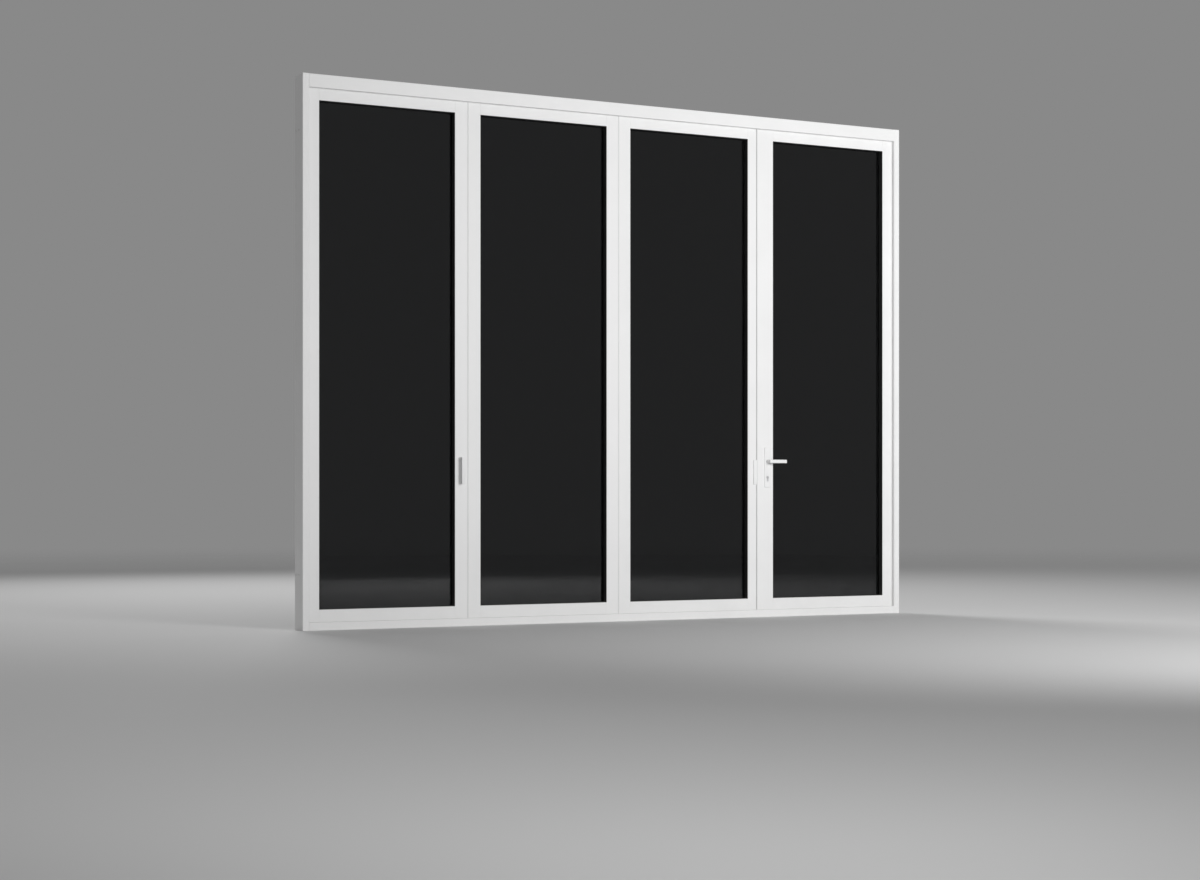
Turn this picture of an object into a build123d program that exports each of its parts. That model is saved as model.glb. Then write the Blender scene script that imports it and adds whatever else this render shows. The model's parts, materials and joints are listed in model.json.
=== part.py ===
from build123d import *
import os

# Bi-fold door set: a white aluminium frame with three folding leaves and one hinged access leaf.
# Millimetres. X runs along the width, -Y is the room side, Z is up.
# The origin lies on the floor, under the middle of the sill.

os.makedirs("parts", exist_ok=True)

# Outer frame
frame_width = 3980.0
frame_height = 3000.0
frame_depth = 115.0
frame_wall = 2.5
jamb_width = 24.0
front_band_depth = 48.0
side_step = 2.5
top_step = 4.0
head_box_height = 24.0
sill_box_height = 16.0
sill_guide_height = 10.0
sill_fall = 6.0
fixing_hole_radius = 4.5
fixing_spacing_y = 40.0
fixing_spacing_z = 2400.0

# Stops that the leaves close against, on the room side
stop_depth = 20.0
stop_wall = 2.0
stop_arris = 1.5
jamb_stop_face = 38.0
head_stop_face = 72.0
sill_stop_face = 44.0
butt_gap = 0.2

# Head track and its roller hanger
track_height = 27.0
track_width = 40.0
track_slot = 12.0
roller_rail_thickness = 4.0
wheel_radius = 8.0
wheel_width = 9.0
wheel_pin_radius = 3.0
hanger_length = 40.0
hanger_width = 14.0
hanger_height = 10.0
hanger_rod_radius = 4.5
hanger_plate_length = 44.0
hanger_plate_width = 30.0
hanger_plate_thickness = 4.0
guide_pin_radius = 5.0
guide_pin_reach = 9.0

# Leaves
leaf_depth = 64.0
stile_face = 77.0
rail_face = 80.0
meeting_stile_face = 59.0
lock_stile_face = 113.0
hinge_stile_face = 80.0
section_wall = 2.2
section_arris = 1.0
rebate = 22.0
lip_thickness = 30.0
bead_thickness = 8.0
bead_bevel = 3.0
gasket_thickness = 3.0
gasket_setback = 0.5
gasket_width = 11.0
liner_thickness = 1.5
liner_setback = 1.5
pane_thickness = 4.0
glass_cover = 14.0
spacer_setback = 1.5

# Clearances
edge_gap = 5.0
lock_gap = 9.0
stop_gap = 6.0
running_clearance = 0.05
fit_clearance = 0.2

# Seals in the joints between leaves
seal_depth = 9.0
seal_setback = 2.0
lock_seal_thickness = 3.0

# Hinges
hinge_count = 3
hinge_height = 110.0
hinge_end_margin = 300.0
hinge_pin_radius = 3.0
knuckle_radius = 7.0
knuckle_gap = 1.0
hinge_flap_width = 38.0
hinge_flap_thickness = 3.0
concealed_hinge_depth = 30.0
concealed_hinge_height = 120.0

# Lock stile furniture
spindle_height = 934.0
spindle_backset = 70.5
cylinder_drop = 96.0
escutcheon_width = 40.0
escutcheon_height = 240.0
escutcheon_thickness = 6.0
escutcheon_above_spindle = 84.0
escutcheon_corner = 5.0
escutcheon_arris = 2.0
cylinder_radius = 8.5
cylinder_web = 10.0
cylinder_height = 33.0
cylinder_proud = 2.0
keyway_width = 2.4
keyway_height = 8.5
keyway_depth = 10.0
lever_neck_radius = 10.0
lever_stile_hole_radius = 11.0
lever_projection = 50.0
lever_reach = 112.0
lever_bar_height = 21.0
lever_bar_thickness = 13.0
lever_tip_corner = 5.0
lever_softening = 3.0
spindle_side = 8.0
spindle_socket_depth = 20.0
faceplate_width = 24.0
faceplate_height = 240.0
astragal_width = 48.0
astragal_lap = 14.0
astragal_clearance = 5.0
astragal_thickness = 3.0

# Handles on the folding leaves
pull_height = 148.0
pull_width = 24.0
pull_plate_thickness = 3.0
pull_web = 5.0
pull_projection = 35.0
pull_lip_width = 21.0
pull_lip_thickness = 5.0
handle_softening = 1.5
handle_height = 868.0
bolt_plate_width = 26.0
bolt_plate_height = 148.0
bolt_plate_thickness = 2.0
bolt_lever_width = 24.0
bolt_lever_height = 144.0
bolt_lever_thickness = 6.0
bolt_lever_slope = 16.0
bolt_overhang = 4.0

# Depth positions
front_y = -frame_depth / 2
back_y = frame_depth / 2
stop_back_y = front_y + stop_depth
leaf_front_y = stop_back_y + stop_gap
leaf_back_y = leaf_front_y + leaf_depth
lip_back_y = leaf_front_y + lip_thickness
bead_front_y = leaf_back_y - bead_thickness
glass_front_y = lip_back_y + gasket_thickness
glass_back_y = bead_front_y - gasket_thickness
leaf_mid_y = (leaf_front_y + leaf_back_y) / 2
box_depth = back_y - stop_back_y
box_mid_y = (back_y + stop_back_y) / 2
step_y = front_y + front_band_depth
rear_depth = back_y - step_y
rear_mid_y = (back_y + step_y) / 2

# Height positions
head_box_bottom = frame_height - head_box_height
track_bottom = head_box_bottom - track_height
leaf_top = track_bottom - edge_gap
sill_top = sill_box_height + sill_guide_height
leaf_bottom = sill_top + edge_gap
leaf_height = leaf_top - leaf_bottom
daylight_bottom = leaf_bottom + rail_face
daylight_top = leaf_top - rail_face
daylight_height = daylight_top - daylight_bottom
daylight_mid_z = (daylight_bottom + daylight_top) / 2

# Positions along the width: each leaf as its two sight lines
jamb_inner = frame_width / 2 - jamb_width
left_faces = (stile_face, stile_face, stile_face, lock_stile_face)
right_faces = (stile_face, stile_face, meeting_stile_face, hinge_stile_face)
gaps_after = (edge_gap, edge_gap, lock_gap, edge_gap)
leaf_room = 2 * jamb_inner - edge_gap - sum(gaps_after) - sum(left_faces) - sum(right_faces)
daylight_width = leaf_room / len(left_faces)
sight_lines = []
leaf_edge = -jamb_inner + edge_gap
for left_face, right_face, gap_after in zip(left_faces, right_faces, gaps_after):
    left_sight = leaf_edge + left_face
    right_sight = left_sight + daylight_width
    sight_lines.append((left_sight, right_sight))
    leaf_edge = right_sight + right_face + gap_after
fold_joint_1_x = sight_lines[0][1] + stile_face + edge_gap / 2
fold_joint_2_x = sight_lines[1][1] + stile_face + edge_gap / 2
meeting_edge_x = sight_lines[2][1] + meeting_stile_face
lock_edge_x = sight_lines[3][0] - lock_stile_face

# Hinge and furniture positions
knuckle_standoff = knuckle_radius + hinge_flap_thickness + knuckle_gap
hinge_axis_y = leaf_back_y + knuckle_standoff
access_axis_x = jamb_inner - knuckle_standoff
hinge_step = (leaf_height - 2 * hinge_end_margin) / (hinge_count - 1)
hinge_heights = [leaf_bottom + hinge_end_margin + hinge_step * i for i in range(hinge_count)]
knuckle_height = (hinge_height - knuckle_gap) / 2
spindle_x = lock_edge_x + spindle_backset
cylinder_z = spindle_height - cylinder_drop
escutcheon_mid_z = spindle_height + escutcheon_above_spindle - escutcheon_height / 2


def save(builder, name):
    """Label a finished sub-part and write it to its own file."""
    builder.part.label = name
    export_step(builder.part, f"parts/{name}.step")


def room_plane(y):
    """A plane across the door at depth y, facing the room, with X to the right and Z up."""
    return Plane(origin=(0, y, 0), x_dir=(1, 0, 0), z_dir=(0, -1, 0))


def width_plane(x):
    """A plane across the width at x, with local x along +Y and local y up."""
    return Plane(origin=(x, 0, 0), x_dir=(0, 1, 0), z_dir=(1, 0, 0))


def right_stile_plane(x):
    """Section plane at the leaf's bottom: local x runs outward from the right sight line."""
    return Plane(origin=(x, 0, leaf_bottom), x_dir=(1, 0, 0), z_dir=(0, 0, 1))


def left_stile_plane(x):
    """Section plane at the leaf's top: local x runs outward from the left sight line."""
    return Plane(origin=(x, 0, leaf_top), x_dir=(-1, 0, 0), z_dir=(0, 0, -1))


def top_rail_plane(x):
    """Section plane at a right-hand end x: local x runs up from the top sight line."""
    return Plane(origin=(x, 0, daylight_top), x_dir=(0, 0, 1), z_dir=(-1, 0, 0))


def bottom_rail_plane(x):
    """Section plane at a left-hand end x: local x runs down from the bottom sight line."""
    return Plane(origin=(x, 0, daylight_bottom), x_dir=(0, 0, -1), z_dir=(1, 0, 0))


def sash_section(face):
    """Hollow leaf profile: a box with a glazing lip on the room side, arrises eased."""
    with BuildSketch() as section:
        with BuildLine():
            Polyline(
                (0, leaf_front_y),
                (face, leaf_front_y),
                (face, leaf_back_y),
                (rebate, leaf_back_y),
                (rebate, lip_back_y),
                (0, lip_back_y),
                close=True,
            )
        make_face()
        front_corners = section.vertices().group_by(Axis.Y)[0]
        back_corners = section.vertices().group_by(Axis.Y)[-1]
        chamfer(front_corners + back_corners, section_arris)
        with Locations(((rebate + face) / 2, leaf_mid_y)):
            Rectangle(
                face - rebate - 2 * section_wall,
                leaf_depth - 2 * section_wall,
                mode=Mode.SUBTRACT,
            )
        with Locations((rebate / 2, (leaf_front_y + lip_back_y) / 2)):
            Rectangle(
                rebate - 2 * section_wall,
                lip_thickness - 2 * section_wall,
                mode=Mode.SUBTRACT,
            )
    return section.sketch


def bead_section():
    """Glazing bead on the outer side, bevelled towards the glass."""
    with BuildSketch() as section:
        with BuildLine():
            Polyline(
                (0, bead_front_y),
                (rebate, bead_front_y),
                (rebate, leaf_back_y),
                (bead_bevel, leaf_back_y),
                (0, leaf_back_y - bead_bevel),
                close=True,
            )
        make_face()
    return section.sketch


def hollow_rectangle(width, height, wall):
    """Draw a box section in the active sketch."""
    Rectangle(width, height)
    Rectangle(width - 2 * wall, height - 2 * wall, mode=Mode.SUBTRACT)


def ring(width, height, band):
    """Draw a rectangular ring in the active sketch, width by height outside."""
    Rectangle(width, height)
    Rectangle(width - 2 * band, height - 2 * band, mode=Mode.SUBTRACT)


def cylinder_outline(clearance):
    """Draw the round-topped, straight-tailed lock cylinder outline in the active sketch."""
    radius = cylinder_radius + clearance
    tail = cylinder_height - cylinder_radius + clearance
    Circle(radius)
    with Locations((0, -(tail - cylinder_web / 2) / 2)):
        Rectangle(cylinder_web + 2 * clearance, tail - cylinder_web / 2)
    with Locations((0, -(tail - cylinder_web / 2 - clearance))):
        Circle(cylinder_web / 2 + clearance)


stile_section = sash_section(stile_face)
meeting_section = sash_section(meeting_stile_face)
lock_section = sash_section(lock_stile_face)
hinge_section = sash_section(hinge_stile_face)
rail_section = sash_section(rail_face)
glazing_bead_section = bead_section()

# Jambs, their rear part a step narrower and lower than the front band, with holes for the wall screws
for name, side in (("left_jamb", -1), ("right_jamb", 1)):
    jamb_mid_x = side * (frame_width - jamb_width) / 2
    with BuildPart() as jamb:
        with BuildSketch():
            with Locations((jamb_mid_x, box_mid_y)):
                Rectangle(jamb_width, box_depth)
            with Locations((side * (frame_width - side_step) / 2, rear_mid_y)):
                Rectangle(side_step, rear_depth, mode=Mode.SUBTRACT)
            with Locations((jamb_mid_x - side * side_step / 2, box_mid_y)):
                Rectangle(
                    jamb_width - side_step - 2 * frame_wall,
                    box_depth - 2 * frame_wall,
                    mode=Mode.SUBTRACT,
                )
        extrude(amount=frame_height)
        with Locations((jamb_mid_x, rear_mid_y, frame_height - top_step / 2)):
            Box(jamb_width, rear_depth, top_step, mode=Mode.SUBTRACT)
        with BuildSketch(width_plane(jamb_mid_x)):
            with Locations((rear_mid_y, frame_height / 2)):
                with GridLocations(fixing_spacing_y, fixing_spacing_z, 2, 2):
                    Circle(fixing_hole_radius)
        extrude(amount=jamb_width / 2, both=True, mode=Mode.SUBTRACT)
    save(jamb, name)

# Head box between the jambs, stepped down behind the front band in the same way
head_hollow_height = head_box_height - top_step - 2 * frame_wall
with BuildPart() as head:
    with BuildSketch(width_plane(-jamb_inner)):
        with Locations((box_mid_y, frame_height - head_box_height / 2)):
            Rectangle(box_depth, head_box_height)
        with Locations((rear_mid_y, frame_height - top_step / 2)):
            Rectangle(rear_depth, top_step, mode=Mode.SUBTRACT)
        with Locations((box_mid_y, head_box_bottom + frame_wall + head_hollow_height / 2)):
            Rectangle(box_depth - 2 * frame_wall, head_hollow_height, mode=Mode.SUBTRACT)
    extrude(amount=2 * jamb_inner)
save(head, "head")

# Two walls under the head box make the sides of the roller track
track_spans = ((stop_back_y, leaf_mid_y - track_width / 2), (leaf_mid_y + track_width / 2, back_y))
with BuildPart() as head_track_walls:
    for wall_start, wall_end in track_spans:
        with BuildSketch(width_plane(-jamb_inner)):
            with Locations(((wall_start + wall_end) / 2, head_box_bottom - track_height / 2)):
                hollow_rectangle(wall_end - wall_start, track_height, frame_wall)
        extrude(amount=2 * jamb_inner)
save(head_track_walls, "head_track_walls")

# Rails that the rollers run on, with the slot between them
rail_reach = (track_width - track_slot) / 2
with BuildPart() as roller_rails:
    for side in (-1, 1):
        with BuildSketch(width_plane(-jamb_inner)):
            with Locations(
                (
                    leaf_mid_y + side * (track_slot + rail_reach) / 2,
                    track_bottom + roller_rail_thickness / 2,
                )
            ):
                Rectangle(rail_reach, roller_rail_thickness)
        extrude(amount=2 * jamb_inner)
save(roller_rails, "roller_rails")

# Sill box and the two walls of the guide groove, the outer one falling away for rain
with BuildPart() as sill:
    with BuildSketch(width_plane(-jamb_inner)):
        with Locations((box_mid_y, sill_box_height / 2)):
            hollow_rectangle(box_depth, sill_box_height, frame_wall)
    extrude(amount=2 * jamb_inner)
save(sill, "sill")

groove_front_y = leaf_mid_y - track_slot / 2
groove_back_y = leaf_mid_y + track_slot / 2
with BuildPart() as sill_guide_walls:
    with BuildSketch(width_plane(-jamb_inner)):
        with BuildLine():
            Polyline(
                (stop_back_y, sill_box_height),
                (groove_front_y, sill_box_height),
                (groove_front_y, sill_top),
                (stop_back_y, sill_top),
                close=True,
            )
        make_face()
        with BuildLine():
            Polyline(
                (groove_back_y, sill_box_height),
                (back_y, sill_box_height),
                (back_y, sill_top - sill_fall),
                (groove_back_y, sill_top),
                close=True,
            )
        make_face()
    extrude(amount=2 * jamb_inner)
save(sill_guide_walls, "sill_guide_walls")

# Stops on the room side: the uprights run full height, head and sill stops fit between them
stop_mid_y = (front_y + stop_back_y) / 2
stop_run = frame_width - 2 * jamb_stop_face - 2 * butt_gap
with BuildPart() as front_stops:
    for side in (-1, 1):
        with BuildSketch() as upright_section:
            with Locations((side * (frame_width - jamb_stop_face) / 2, stop_mid_y)):
                Rectangle(jamb_stop_face, stop_depth)
                chamfer(upright_section.vertices().group_by(Axis.Y)[0], stop_arris)
                Rectangle(
                    jamb_stop_face - 2 * stop_wall,
                    stop_depth - 2 * stop_wall,
                    mode=Mode.SUBTRACT,
                )
        extrude(amount=frame_height)
    for stop_mid_z, stop_face in (
        (sill_stop_face / 2, sill_stop_face),
        (frame_height - head_stop_face / 2, head_stop_face),
    ):
        with BuildSketch(width_plane(-stop_run / 2)) as level_section:
            with Locations((stop_mid_y, stop_mid_z)):
                Rectangle(stop_depth, stop_face)
                chamfer(level_section.vertices().group_by(Axis.X)[0], stop_arris)
                Rectangle(
                    stop_depth - 2 * stop_wall,
                    stop_face - 2 * stop_wall,
                    mode=Mode.SUBTRACT,
                )
        extrude(amount=stop_run)
save(front_stops, "front_stops")

# Roller hanger: a trolley in the track, with a rod down to a plate on the third leaf's first stile
hanger_x = fold_joint_2_x + edge_gap / 2 + hanger_plate_length / 2
wheel_mid_z = track_bottom + roller_rail_thickness + wheel_radius
with BuildPart() as roller_hanger:
    with Locations((hanger_x, leaf_mid_y, wheel_mid_z)):
        Box(hanger_length, hanger_width, hanger_height)
    with BuildSketch(Plane.XY.offset(leaf_top)):
        with Locations((hanger_x, leaf_mid_y)):
            Circle(hanger_rod_radius)
    extrude(amount=wheel_mid_z - leaf_top)
    with Locations((hanger_x, leaf_mid_y, leaf_top + hanger_plate_thickness / 2)):
        Box(hanger_plate_length, hanger_plate_width, hanger_plate_thickness)
    with BuildSketch(room_plane(leaf_mid_y)):
        with Locations((hanger_x, wheel_mid_z)):
            Circle(wheel_pin_radius)
    extrude(amount=hanger_width / 2 + wheel_width, both=True)
save(roller_hanger, "roller_hanger")

with BuildPart() as hanger_wheels:
    for side in (-1, 1):
        wheel_y = leaf_mid_y + side * (hanger_width + wheel_width) / 2
        with BuildSketch(room_plane(wheel_y)):
            with Locations((hanger_x, wheel_mid_z)):
                Circle(wheel_radius)
                Circle(wheel_pin_radius + running_clearance, mode=Mode.SUBTRACT)
        extrude(amount=wheel_width / 2 - running_clearance, both=True)
save(hanger_wheels, "hanger_wheels")

with BuildPart() as bottom_guide:
    with Locations((hanger_x, leaf_mid_y, leaf_bottom - hanger_plate_thickness / 2)):
        Box(hanger_plate_length, hanger_plate_width, hanger_plate_thickness)
    with BuildSketch(Plane.XY.offset(leaf_bottom - hanger_plate_thickness)):
        with Locations((hanger_x, leaf_mid_y)):
            Circle(guide_pin_radius)
    extrude(amount=-guide_pin_reach)
save(bottom_guide, "bottom_guide")

# Stiles of the three folding leaves
folding_sections = (
    (stile_section, stile_section),
    (stile_section, stile_section),
    (stile_section, meeting_section),
)
for number, (left_section, right_section) in enumerate(folding_sections, start=1):
    left_sight, right_sight = sight_lines[number - 1]
    with BuildPart() as stiles:
        with BuildSketch(left_stile_plane(left_sight)):
            add(left_section)
        extrude(amount=leaf_height)
        with BuildSketch(right_stile_plane(right_sight)):
            add(right_section)
        extrude(amount=leaf_height)
    save(stiles, f"leaf_{number}_stiles")

# Lock stile of the access leaf, cut for the lever, the lock cylinder and the lock's faceplate
with BuildPart() as lock_stile:
    with BuildSketch(left_stile_plane(sight_lines[3][0])):
        add(lock_section)
    extrude(amount=leaf_height)
    with BuildSketch(room_plane(leaf_mid_y)):
        with Locations((spindle_x, spindle_height)):
            Circle(lever_stile_hole_radius)
        with Locations((spindle_x, cylinder_z)):
            cylinder_outline(fit_clearance)
    extrude(amount=leaf_depth, both=True, mode=Mode.SUBTRACT)
    with Locations((lock_edge_x + section_wall / 2, leaf_mid_y, escutcheon_mid_z)):
        Box(section_wall, faceplate_width, faceplate_height, mode=Mode.SUBTRACT)
save(lock_stile, "leaf_4_lock_stile")

with BuildPart() as hinge_stile:
    with BuildSketch(right_stile_plane(sight_lines[3][1])):
        add(hinge_section)
    extrude(amount=leaf_height)
save(hinge_stile, "leaf_4_hinge_stile")

# Rails, glass, beads and gaskets, alike in all four leaves
rail_length = daylight_width + 2 * rebate
cope_y = (leaf_front_y + lip_back_y) / 2
pane_width = daylight_width + 2 * glass_cover
pane_height = daylight_height + 2 * glass_cover
gasket_ring_width = daylight_width + 2 * (gasket_setback + gasket_width)
gasket_ring_height = daylight_height + 2 * (gasket_setback + gasket_width)
lined_gasket_width = gasket_width + gasket_setback + liner_thickness
spacer_band = glass_cover - spacer_setback - gasket_setback
spacer_ring_width = daylight_width + 2 * (spacer_setback + spacer_band)
spacer_ring_height = daylight_height + 2 * (spacer_setback + spacer_band)
bead_length = rail_length - 2 * butt_gap
side_bead_length = daylight_height - 2 * butt_gap
for number, (left_sight, right_sight) in enumerate(sight_lines, start=1):
    leaf_mid_x = (left_sight + right_sight) / 2

    # The rails' lips are coped to let the stiles' lips run past
    with BuildPart() as rails:
        with BuildSketch(top_rail_plane(right_sight + rebate)):
            add(rail_section)
        extrude(amount=rail_length)
        with BuildSketch(bottom_rail_plane(left_sight - rebate)):
            add(rail_section)
        extrude(amount=rail_length)
        for cope_x in (left_sight - rebate / 2, right_sight + rebate / 2):
            for cope_z in (daylight_top + rail_face / 2, daylight_bottom - rail_face / 2):
                with Locations((cope_x, cope_y, cope_z)):
                    Box(rebate, lip_thickness, rail_face, mode=Mode.SUBTRACT)
    save(rails, f"leaf_{number}_rails")

    with BuildPart() as glass:
        for sheet_back_y in (glass_front_y + pane_thickness, glass_back_y):
            with BuildSketch(room_plane(sheet_back_y)):
                with Locations((leaf_mid_x, daylight_mid_z)):
                    Rectangle(pane_width, pane_height)
            extrude(amount=pane_thickness)
    save(glass, f"leaf_{number}_glass")

    with BuildPart() as beads:
        with BuildSketch(top_rail_plane(leaf_mid_x + bead_length / 2)):
            add(glazing_bead_section)
        extrude(amount=bead_length)
        with BuildSketch(bottom_rail_plane(leaf_mid_x - bead_length / 2)):
            add(glazing_bead_section)
        extrude(amount=bead_length)
        bead_offset = rail_face + butt_gap
        with BuildSketch(left_stile_plane(left_sight).offset(bead_offset)):
            add(glazing_bead_section)
        extrude(amount=side_bead_length)
        with BuildSketch(right_stile_plane(right_sight).offset(bead_offset)):
            add(glazing_bead_section)
        extrude(amount=side_bead_length)
    save(beads, f"leaf_{number}_beads")

    # The room side gasket has a black liner that runs forward along the lip to just behind the leaf's face
    with BuildPart() as gaskets:
        with BuildSketch(room_plane(glass_front_y)):
            with Locations((leaf_mid_x, daylight_mid_z)):
                ring(gasket_ring_width, gasket_ring_height, lined_gasket_width)
        extrude(amount=gasket_thickness)
        with BuildSketch(room_plane(lip_back_y)):
            with Locations((leaf_mid_x, daylight_mid_z)):
                ring(daylight_width, daylight_height, liner_thickness)
        extrude(amount=lip_thickness - liner_setback)
        with BuildSketch(room_plane(bead_front_y)):
            with Locations((leaf_mid_x, daylight_mid_z)):
                ring(gasket_ring_width, gasket_ring_height, gasket_width)
        extrude(amount=gasket_thickness)
        with BuildSketch(room_plane(glass_back_y - pane_thickness)):
            with Locations((leaf_mid_x, daylight_mid_z)):
                ring(spacer_ring_width, spacer_ring_height, spacer_band)
        extrude(amount=glass_back_y - glass_front_y - 2 * pane_thickness)
    save(gaskets, f"leaf_{number}_gaskets")

# Seals that close the joints between the folding leaves, and the one on the lock stile's edge
with BuildPart() as fold_joint_seals:
    for joint_x in (fold_joint_1_x, fold_joint_2_x):
        with BuildSketch(Plane.XY.offset(leaf_bottom)):
            with Locations((joint_x, leaf_front_y + seal_setback + seal_depth / 2)):
                Rectangle(edge_gap, seal_depth)
        extrude(amount=leaf_height)
save(fold_joint_seals, "fold_joint_seals")

with BuildPart() as lock_seal:
    with BuildSketch(Plane.XY.offset(leaf_bottom)):
        with Locations(
            (lock_edge_x - lock_seal_thickness / 2, leaf_front_y + seal_setback + seal_depth / 2)
        ):
            Rectangle(lock_seal_thickness, seal_depth)
    extrude(amount=leaf_height)
save(lock_seal, "lock_seal")

# Cover strip on the outer side of the lock stile, lapping the joint with the third leaf
astragal_tip_x = meeting_edge_x - astragal_lap
astragal_back_y = leaf_back_y + astragal_clearance + astragal_thickness
with BuildPart() as astragal:
    with BuildSketch(Plane.XY.offset(leaf_bottom)):
        with BuildLine():
            Polyline(
                (lock_edge_x, leaf_back_y),
                (astragal_tip_x + astragal_width, leaf_back_y),
                (astragal_tip_x + astragal_width, astragal_back_y),
                (astragal_tip_x, astragal_back_y),
                (astragal_tip_x, leaf_back_y + astragal_clearance),
                (lock_edge_x, leaf_back_y + astragal_clearance),
                close=True,
            )
        make_face()
    extrude(amount=leaf_height)
save(astragal, "lock_astragal")

# Lift-off hinges of the access leaf: frame flaps with the lower knuckle, leaf flaps with the upper, and pins
with BuildPart() as access_hinge_frame_flaps:
    for hinge_z in hinge_heights:
        with BuildSketch(Plane.XY.offset(hinge_z - hinge_height / 2)):
            with Locations((jamb_inner - hinge_flap_thickness / 2, (hinge_axis_y + back_y) / 2)):
                Rectangle(hinge_flap_thickness, back_y - hinge_axis_y)
        extrude(amount=hinge_height)
        with BuildSketch(Plane.XY.offset(hinge_z - hinge_height / 2)):
            with Locations((access_axis_x, hinge_axis_y)):
                Circle(knuckle_radius)
            with Locations(((access_axis_x + jamb_inner) / 2, hinge_axis_y + knuckle_radius / 2)):
                Rectangle(jamb_inner - access_axis_x, knuckle_radius)
        extrude(amount=knuckle_height)
    with BuildSketch(Plane.XY.offset(leaf_bottom)):
        with Locations((access_axis_x, hinge_axis_y)):
            Circle(hinge_pin_radius + running_clearance)
    extrude(amount=leaf_height, mode=Mode.SUBTRACT)
save(access_hinge_frame_flaps, "access_hinge_frame_flaps")

with BuildPart() as access_hinge_leaf_flaps:
    for hinge_z in hinge_heights:
        with BuildSketch(Plane.XY.offset(hinge_z + knuckle_gap / 2)):
            with Locations((access_axis_x, hinge_axis_y)):
                Circle(knuckle_radius)
            with Locations((access_axis_x - knuckle_radius / 2, (leaf_back_y + hinge_axis_y) / 2)):
                Rectangle(knuckle_radius, hinge_axis_y - leaf_back_y)
        extrude(amount=knuckle_height)
        with BuildSketch(Plane.XY.offset(hinge_z - hinge_height / 2)):
            with Locations(
                (
                    access_axis_x - knuckle_radius - knuckle_gap - hinge_flap_width / 2,
                    leaf_back_y + hinge_flap_thickness / 2,
                )
            ):
                Rectangle(hinge_flap_width, hinge_flap_thickness)
        extrude(amount=hinge_height)
        with BuildSketch(Plane.XY.offset(hinge_z + knuckle_gap / 2)):
            with Locations((access_axis_x - knuckle_radius, leaf_back_y + hinge_flap_thickness / 2)):
                Rectangle(2 * knuckle_radius, hinge_flap_thickness)
        extrude(amount=knuckle_height)
    with BuildSketch(Plane.XY.offset(leaf_bottom)):
        with Locations((access_axis_x, hinge_axis_y)):
            Circle(hinge_pin_radius + running_clearance)
    extrude(amount=leaf_height, mode=Mode.SUBTRACT)
save(access_hinge_leaf_flaps, "access_hinge_leaf_flaps")

with BuildPart() as access_hinge_pins:
    for hinge_z in hinge_heights:
        with BuildSketch(Plane.XY.offset(hinge_z - hinge_height / 2)):
            with Locations((access_axis_x, hinge_axis_y)):
                Circle(hinge_pin_radius)
        extrude(amount=hinge_height)
save(access_hinge_pins, "access_hinge_pins")

# Hinges of the folding leaves: on the left jamb, on the second joint and hidden in the first joint
jamb_axis_x = -access_axis_x
with BuildPart() as left_jamb_hinges:
    for hinge_z in hinge_heights:
        with BuildSketch(Plane.XY.offset(hinge_z - hinge_height / 2)):
            with Locations((jamb_axis_x, hinge_axis_y)):
                Circle(knuckle_radius)
            with Locations(
                ((jamb_axis_x - jamb_inner) / 2, hinge_axis_y + knuckle_radius / 2),
                (jamb_axis_x + knuckle_radius / 2, (leaf_back_y + hinge_axis_y) / 2),
            ):
                Rectangle(knuckle_standoff, knuckle_radius)
            with Locations((-jamb_inner + hinge_flap_thickness / 2, (hinge_axis_y + back_y) / 2)):
                Rectangle(hinge_flap_thickness, back_y - hinge_axis_y)
            with Locations(
                (jamb_axis_x + hinge_flap_width / 2, leaf_back_y + hinge_flap_thickness / 2)
            ):
                Rectangle(hinge_flap_width, hinge_flap_thickness)
        extrude(amount=hinge_height)
save(left_jamb_hinges, "left_jamb_hinges")

with BuildPart() as fold_hinges:
    for hinge_z in hinge_heights:
        with BuildSketch(Plane.XY.offset(hinge_z - hinge_height / 2)):
            with Locations((fold_joint_2_x, hinge_axis_y)):
                Circle(knuckle_radius)
            with Locations((fold_joint_2_x, (leaf_back_y + hinge_axis_y) / 2)):
                Rectangle(knuckle_radius, knuckle_standoff)
            with Locations((fold_joint_2_x, leaf_back_y + hinge_flap_thickness / 2)):
                Rectangle(2 * hinge_flap_width, hinge_flap_thickness)
        extrude(amount=hinge_height)
save(fold_hinges, "fold_hinges")

with BuildPart() as concealed_hinges:
    for hinge_z in hinge_heights:
        with Locations((fold_joint_1_x, leaf_mid_y + concealed_hinge_depth / 2 - seal_depth, hinge_z)):
            Box(edge_gap, concealed_hinge_depth, concealed_hinge_height)
save(concealed_hinges, "concealed_hinges")

# Lock furniture: a plate on each side, the cylinder through both, and the lock's faceplate
for name, face_y, facing in (
    ("room_escutcheon", leaf_front_y, 1),
    ("outer_escutcheon", leaf_back_y, -1),
):
    with BuildPart() as escutcheon:
        with BuildSketch(room_plane(face_y)):
            with Locations((spindle_x, escutcheon_mid_z)):
                RectangleRounded(escutcheon_width, escutcheon_height, escutcheon_corner)
        extrude(amount=facing * escutcheon_thickness)
        outer_face = escutcheon.faces().sort_by(Axis.Y)[0 if facing > 0 else -1]
        chamfer(outer_face.edges(), escutcheon_arris)
        with BuildSketch(room_plane(face_y)):
            with Locations((spindle_x, spindle_height)):
                Circle(lever_neck_radius + running_clearance)
            with Locations((spindle_x, cylinder_z)):
                cylinder_outline(fit_clearance)
        extrude(amount=facing * escutcheon_thickness, mode=Mode.SUBTRACT)
    save(escutcheon, name)

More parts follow.
